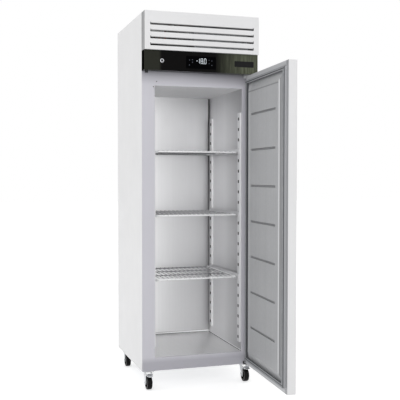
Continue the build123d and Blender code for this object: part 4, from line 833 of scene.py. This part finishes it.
def finishes():
    """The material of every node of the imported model."""
    steel, coil, zinc_finish = galvanised(), fins(), zinc()
    white, plastic, moulded = white_paint(), black_plastic(), white_plastic()
    finish = {
        "louvre_panel": louvre_paint(), "door_skin": door_paint(), "front_frame": frame_paint(),
        "hinge_brackets": bracket_paint(), "inner_side_walls": wall_sheet(), "inner_rear_wall": rear_shade_sheet(),
        "duct_panel": back_sheet(), "inner_floor": floor_sheet(), "pilasters": upright_sheet(),
        "inner_ceiling": ceiling_sheet(), "shelf_runners": bright_sheet(),
        "insulation_foam": foam(), "door_foam": door_filling(), "control_fascia": black_gloss(),
        "display_window": display_glass(), "lock_housing": chrome(), "lock_barrel": barrel_metal(),
        "refrigerant_pipes": copper(), "door_liner": liner_plastic(), "door_gasket": gasket_rubber(),
        "door_grip": grip_plastic(),
    }
    shared = (
        (white, ("side_panel_left", "side_panel_right", "top_cover")),
        (steel, ("back_panel", "base_pan", "unit_deck", "rear_grille", "condenser_shroud")),
        (plastic, ("display_module", "door_sensor", "frame_plugs", "drip_tray", "cable_gland")),
        (plastic, ("condenser_fan", "evaporator_fan")),
        (painted_steel_black(), ("compressor", "condenser_fan_motor", "evaporator_fan_motor")),
        (coil, ("condenser_coil", "evaporator_coil")),
        (moulded, ("evaporator_housing", "evaporator_lid", "door_bushes")),
        (zinc_finish, ("hinge_pins", "castor_plates", "fixing_screws")),
        (shelf_coating(), ("shelf_upper", "shelf_middle", "shelf_lower")),
    )
    for material, names in shared:
        finish.update((name, material) for name in names)
    rubber, pedal = wheel_rubber(), pedal_plastic()
    for place in ("front_left", "front_right", "rear_left", "rear_right"):
        finish["castor_fork_" + place] = zinc_finish
        finish["castor_wheel_" + place] = rubber
        finish["brake_pedal_" + place] = pedal
    return finish


def paint_nodes():
    finish = finishes()
    for name, node in nodes.items():
        for slot in node.material_slots:
            slot.material = finish[name]


# Small fittings made here, each riding on the cabinet.
class Shape:
    """Collects the vertices and faces of one piece."""

    def __init__(self):
        self.vertices, self.faces = [], []

    def outline(self, points, front, back, edge=0.0):
        """A plate facing the front with this (x, z) outline, with a small chamfer round its face."""
        count, start = len(points), len(self.vertices)
        middle_x = sum(x for x, z in points) / count
        middle_z = sum(z for x, z in points) / count

        def ring(y, inset):
            for x, z in points:
                length = max(((x - middle_x) ** 2 + (z - middle_z) ** 2) ** 0.5, 1e-9)
                share = 1 - inset / length
                drawn_in = (middle_x + (x - middle_x) * share, y, middle_z + (z - middle_z) * share)
                self.vertices.append(drawn_in)

        ring(back, 0.0)
        ring(front + edge, 0.0)
        layers = 1
        if edge > 0:
            ring(front, edge)
            layers = 2
        for layer in range(layers):
            low = start + layer * count
            for here in range(count):
                after = (here + 1) % count
                self.faces.append((low + here, low + after, low + count + after, low + count + here))
        self.faces.append(tuple(start + layers * count + here for here in range(count)))
        self.faces.append(tuple(start + here for here in reversed(range(count))))

    def dome(self, centre, radius, height, normal, steps=16):
        """A low domed head standing on a face whose outward normal is given."""
        centre, normal = Vector(centre), Vector(normal)
        side = normal.orthogonal().normalized()
        other = normal.cross(side)
        start = len(self.vertices)
        # share of the radius and share of the height of each ring, from the foot up
        rings = ((1.0, 0.0), (1.0, 0.35), (0.86, 0.72), (0.55, 0.93))
        for share, rise in rings:
            for step in range(steps):
                angle = 2 * pi * step / steps
                offset = (side * cos(angle) + other * sin(angle)) * radius * share
                self.vertices.append(tuple(centre + offset + normal * height * rise))
        self.vertices.append(tuple(centre + normal * height))
        top = len(self.vertices) - 1
        for layer in range(len(rings) - 1):
            low = start + layer * steps
            for step in range(steps):
                after = (step + 1) % steps
                self.faces.append((low + step, low + after, low + steps + after, low + steps + step))
        last = start + (len(rings) - 1) * steps
        for step in range(steps):
            self.faces.append((last + step, last + (step + 1) % steps, top))
        self.faces.append(tuple(start + step for step in reversed(range(steps))))


def mesh_piece(name, shape, material, body, smooth=False):
    mesh = bpy.data.meshes.new(name)
    mesh.from_pydata(shape.vertices, [], shape.faces)
    mesh.update()
    for polygon in mesh.polygons:
        polygon.use_smooth = smooth
    mesh.materials.append(material)
    piece = bpy.data.objects.new(name, mesh)
    bpy.context.scene.collection.objects.link(piece)
    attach(piece, body)


# The display shows a generic storage temperature, -18.0, in seven-segment digits. Each digit is given by its
# lit segments, lettered clockwise from the top with g in the middle, and by its place in steps.
READING = (("g", 0.6), ("bc", 1), ("abcdefg", 2), ("abcdef", 3))
DIGIT_HEIGHT, DIGIT_WIDTH = 0.0285, 0.0116
DIGIT_STEP = 0.0192
STROKE = 0.0012
STROKE_GAP = 0.12 * STROKE
PRINT_RISE = 0.0002

# From the middle of the window to the lower left corner of the reading, and its decimal point.
READING_LEFT, READING_DROP = 0.0400, 0.0055
POINT_SIZE = 0.0022
POINT_PLACE = 3 * DIGIT_STEP - 0.0048

# Dim round marks beside the digits, as offsets from the middle of the window.
MARK_SIZE = 0.0044
MARKS = (
    (-0.066, 0.012), (-0.049, 0.014), (-0.049, 0.001), (-0.066, -0.015),
    (0.046, 0.015), (0.046, -0.003), (0.062, 0.012), (0.062, -0.012),
)


def segment_points(letter, x, z):
    """Outline of one segment of the digit whose lower left corner is given: a bar with pointed ends."""
    half = STROKE / 2
    middle, top = z + DIGIT_HEIGHT / 2, z + DIGIT_HEIGHT
    flat = {"a": top - half, "g": middle, "d": z + half}
    if letter in flat:
        level, left, right = flat[letter], x + half + STROKE_GAP, x + DIGIT_WIDTH - half - STROKE_GAP
        return [
            (left, level), (left + half, level + half), (right - half, level + half),
            (right, level), (right - half, level - half), (left + half, level - half),
        ]
    along = x + half if letter in "ef" else x + DIGIT_WIDTH - half
    low, high = (z + half, middle) if letter in "ec" else (middle, top - half)
    low, high = low + STROKE_GAP, high - STROKE_GAP
    return [
        (along, low), (along + half, low + half), (along + half, high - half),
        (along, high), (along - half, high - half), (along - half, low + half),
    ]


def display_digits():
    low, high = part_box("display_window")
    back, front = low.y, low.y - PRINT_RISE
    left = (low.x + high.x) / 2 - READING_LEFT
    bottom = (low.z + high.z) / 2 - READING_DROP
    lit = Shape()
    for segments, place in READING:
        for letter in segments:
            lit.outline(segment_points(letter, left + place * DIGIT_STEP, bottom), front, back)
    point = left + POINT_PLACE
    corners = ((0, 0), (1, 0), (1, 1), (0, 1))
    square = [(point + POINT_SIZE * across, bottom + POINT_SIZE * up) for across, up in corners]
    lit.outline(square, front, back)
    mesh_piece("display_digits", lit, lit_segment(), "cabinet")


def display_marks():
    low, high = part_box("display_window")
    back, front = low.y, low.y - PRINT_RISE
    radius, sides = MARK_SIZE / 2, 8
    dim = Shape()
    for across, up in MARKS:
        x, z = (low.x + high.x) / 2 + across, (low.z + high.z) / 2 + up
        angles = [2 * pi * side / sides for side in range(sides)]
        dim.outline([(x + radius * cos(angle), z + radius * sin(angle)) for angle in angles], front, back)
    mesh_piece("display_marks", dim, dim_segment(), "cabinet")


def badge_plate():
    """A bare plate with rounded corners at the right end of the fascia."""
    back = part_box("control_fascia")[0].y
    left, right, bottom, top = 0.187, 0.300, 1.774, 1.806
    corner, corner_steps = 0.003, 4
    thickness, chamfer = 0.0010, 0.0005
    corners = (
        (right - corner, top - corner, 0), (left + corner, top - corner, 90),
        (left + corner, bottom + corner, 180), (right - corner, bottom + corner, 270),
    )
    points = []
    for centre_x, centre_z, first in corners:
        for step in range(corner_steps + 1):
            angle = radians(first + step * 90 / corner_steps)
            points.append((centre_x + corner * cos(angle), centre_z + corner * sin(angle)))
    plate = Shape()
    plate.outline(points, back - thickness, back, chamfer)
    mesh_piece("badge_plate", plate, dark_plate(), "cabinet")


def evenly(low, high, margin, count):
    """Places from one margin to the other."""
    return [low + margin + (high - low - 2 * margin) * index / (count - 1) for index in range(count)]


def back_rivets():
    """Rivets up both sides of the back panel and along its top and bottom."""
    low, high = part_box("back_panel")
    side_inset, end_inset = 0.026, 0.022
    radius, height = 0.0035, 0.0011
    sides = (low.x + side_inset, high.x - side_inset)
    ends = (low.z + end_inset, high.z - end_inset)
    places = [(x, z) for z in evenly(low.z, high.z, margin=0.04, count=9) for x in sides]
    places += [(x, z) for x in evenly(low.x, high.x, margin=0.12, count=5) for z in ends]
    heads = Shape()
    for x, z in places:
        heads.dome((x, high.y, z), radius, height, BACK)
    mesh_piece("back_rivets", heads, bpy.data.materials["zinc"], "cabinet", smooth=True)


# Floor, world, lamps and camera. The floor and the world look white to the camera and in reflections, and
# light the object at a plain level.
def rays(tree, *kinds):
    """1 for rays of these kinds."""
    path = tree.nodes.new("ShaderNodeLightPath")
    result = path.outputs[kinds[0]]
    for kind in kinds[1:]:
        node = tree.nodes.new("ShaderNodeMath")
        node.operation = "MAXIMUM"
        tree.links.new(result, node.inputs[0])
        tree.links.new(path.outputs[kind], node.inputs[1])
        result = node.outputs[0]
    return result


def plain_shader(tree, kind, tone, strength=None):
    """A shader of this kind with its colour and, if it gives light, its strength."""
    node = tree.nodes.new(kind)
    node.inputs["Color"].default_value = tone
    if strength is not None:
        node.inputs["Strength"].default_value = strength
    return node.outputs[0]


def switch(tree, amount, first, second, output):
    """Wires the first shader to the output where the amount is 0 and the second where it is 1."""
    mix = tree.nodes.new("ShaderNodeMixShader")
    tree.links.new(amount, mix.inputs["Fac"])
    tree.links.new(first, mix.inputs[1])
    tree.links.new(second, mix.inputs[2])
    tree.links.new(mix.outputs[0], output.inputs["Surface"])


WHITE = (1, 1, 1, 1)
FLOOR_REACH = 30.0
FLOOR_TONE = (0.8, 0.8, 0.8, 1)
FLOOR_SEEN_TONE = (0.74, 0.74, 0.74, 1)
FLOOR_GLOW = 0.55
AMBIENT = 0.80


def floor_material():
    """A plain floor that glows a little where it is seen, so that it looks white and keeps its shadow."""
    material = bpy.data.materials.new("studio_floor")
    material.use_nodes = True
    tree = material.node_tree
    tree.nodes.clear()
    output = tree.nodes.new("ShaderNodeOutputMaterial")
    plain = plain_shader(tree, "ShaderNodeBsdfDiffuse", FLOOR_TONE)
    lit = tree.nodes.new("ShaderNodeAddShader")
    tree.links.new(plain_shader(tree, "ShaderNodeBsdfDiffuse", FLOOR_SEEN_TONE), lit.inputs[0])
    tree.links.new(plain_shader(tree, "ShaderNodeEmission", WHITE, FLOOR_GLOW), lit.inputs[1])
    switch(tree, rays(tree, "Is Camera Ray", "Is Glossy Ray"), plain, lit.outputs[0], output)
    return material


def stage():
    signs = ((-1, -1), (1, -1), (1, 1), (-1, 1))
    corners = [(FLOOR_REACH * sign_x, FLOOR_REACH * sign_y, 0) for sign_x, sign_y in signs]
    floor_mesh = bpy.data.meshes.new("floor")
    floor_mesh.from_pydata(corners, [], [(0, 1, 2, 3)])
    floor_mesh.materials.append(floor_material())
    floor = bpy.data.objects.new("floor", floor_mesh)
    bpy.context.scene.collection.objects.link(floor)


def world():
    sky = bpy.data.worlds.new("studio")
    bpy.context.scene.world = sky
    sky.use_nodes = True
    tree = sky.node_tree
    tree.nodes.clear()
    output = tree.nodes.new("ShaderNodeOutputWorld")
    ambient = plain_shader(tree, "ShaderNodeBackground", WHITE, AMBIENT)
    white = plain_shader(tree, "ShaderNodeBackground", WHITE, 1.0)
    switch(tree, rays(tree, "Is Camera Ray", "Is Glossy Ray", "Is Transmission Ray"), ambient, white, output)


# Each soft lamp looks at the middle of the freezer: its name, place, width and height in metres, and watts.
LAMP_AIM = (0, 0, 1.0)
LAMPS = (
    ("key", (-2.6, -5.2, 3.2), (2.4, 2.4), 66),
    ("fill", (-5.0, 0.8, 2.0), (3.0, 3.0), 30),
    ("front", (-0.6, -6.0, 1.3), (1.6, 2.4), 45),
)


def lights():
    for name, place, size, power in LAMPS:
        data = bpy.data.lights.new(name, "AREA")
        data.shape = "RECTANGLE"
        data.size, data.size_y = size
        data.energy = power
        lamp = bpy.data.objects.new(name, data)
        bpy.context.scene.collection.objects.link(lamp)
        lamp.location = place
        lamp.rotation_euler = (Vector(LAMP_AIM) - Vector(place)).to_track_quat("-Z", "Y").to_euler()


# The photograph's view: the camera's place in metres, its angles in degrees, and its sensor and lens in mm.
CAMERA_PLACE = (-1.2790, -4.0000, 1.1710)
CAMERA_TILT_DOWN = 1.789
CAMERA_ROLL = -0.049
CAMERA_TURN = -17.731
CAMERA_SENSOR = 36.0
CAMERA_LENS = 68.49
CAMERA_REACH = 100.0


def camera():
    data = bpy.data.cameras.new("camera")
    data.sensor_width = CAMERA_SENSOR
    data.lens = CAMERA_LENS
    data.clip_end = CAMERA_REACH
    view = bpy.data.objects.new("camera", data)
    bpy.context.scene.collection.objects.link(view)
    view.location = CAMERA_PLACE
    view.rotation_mode = "XYZ"
    view.rotation_euler = (radians(90 - CAMERA_TILT_DOWN), radians(CAMERA_ROLL), radians(CAMERA_TURN))
    bpy.context.scene.camera = view


paint_nodes()
display_digits()
display_marks()
badge_plate()
back_rivets()
stage()
world()
lights()
camera()
bpy.context.scene.view_settings.view_transform = "Standard"
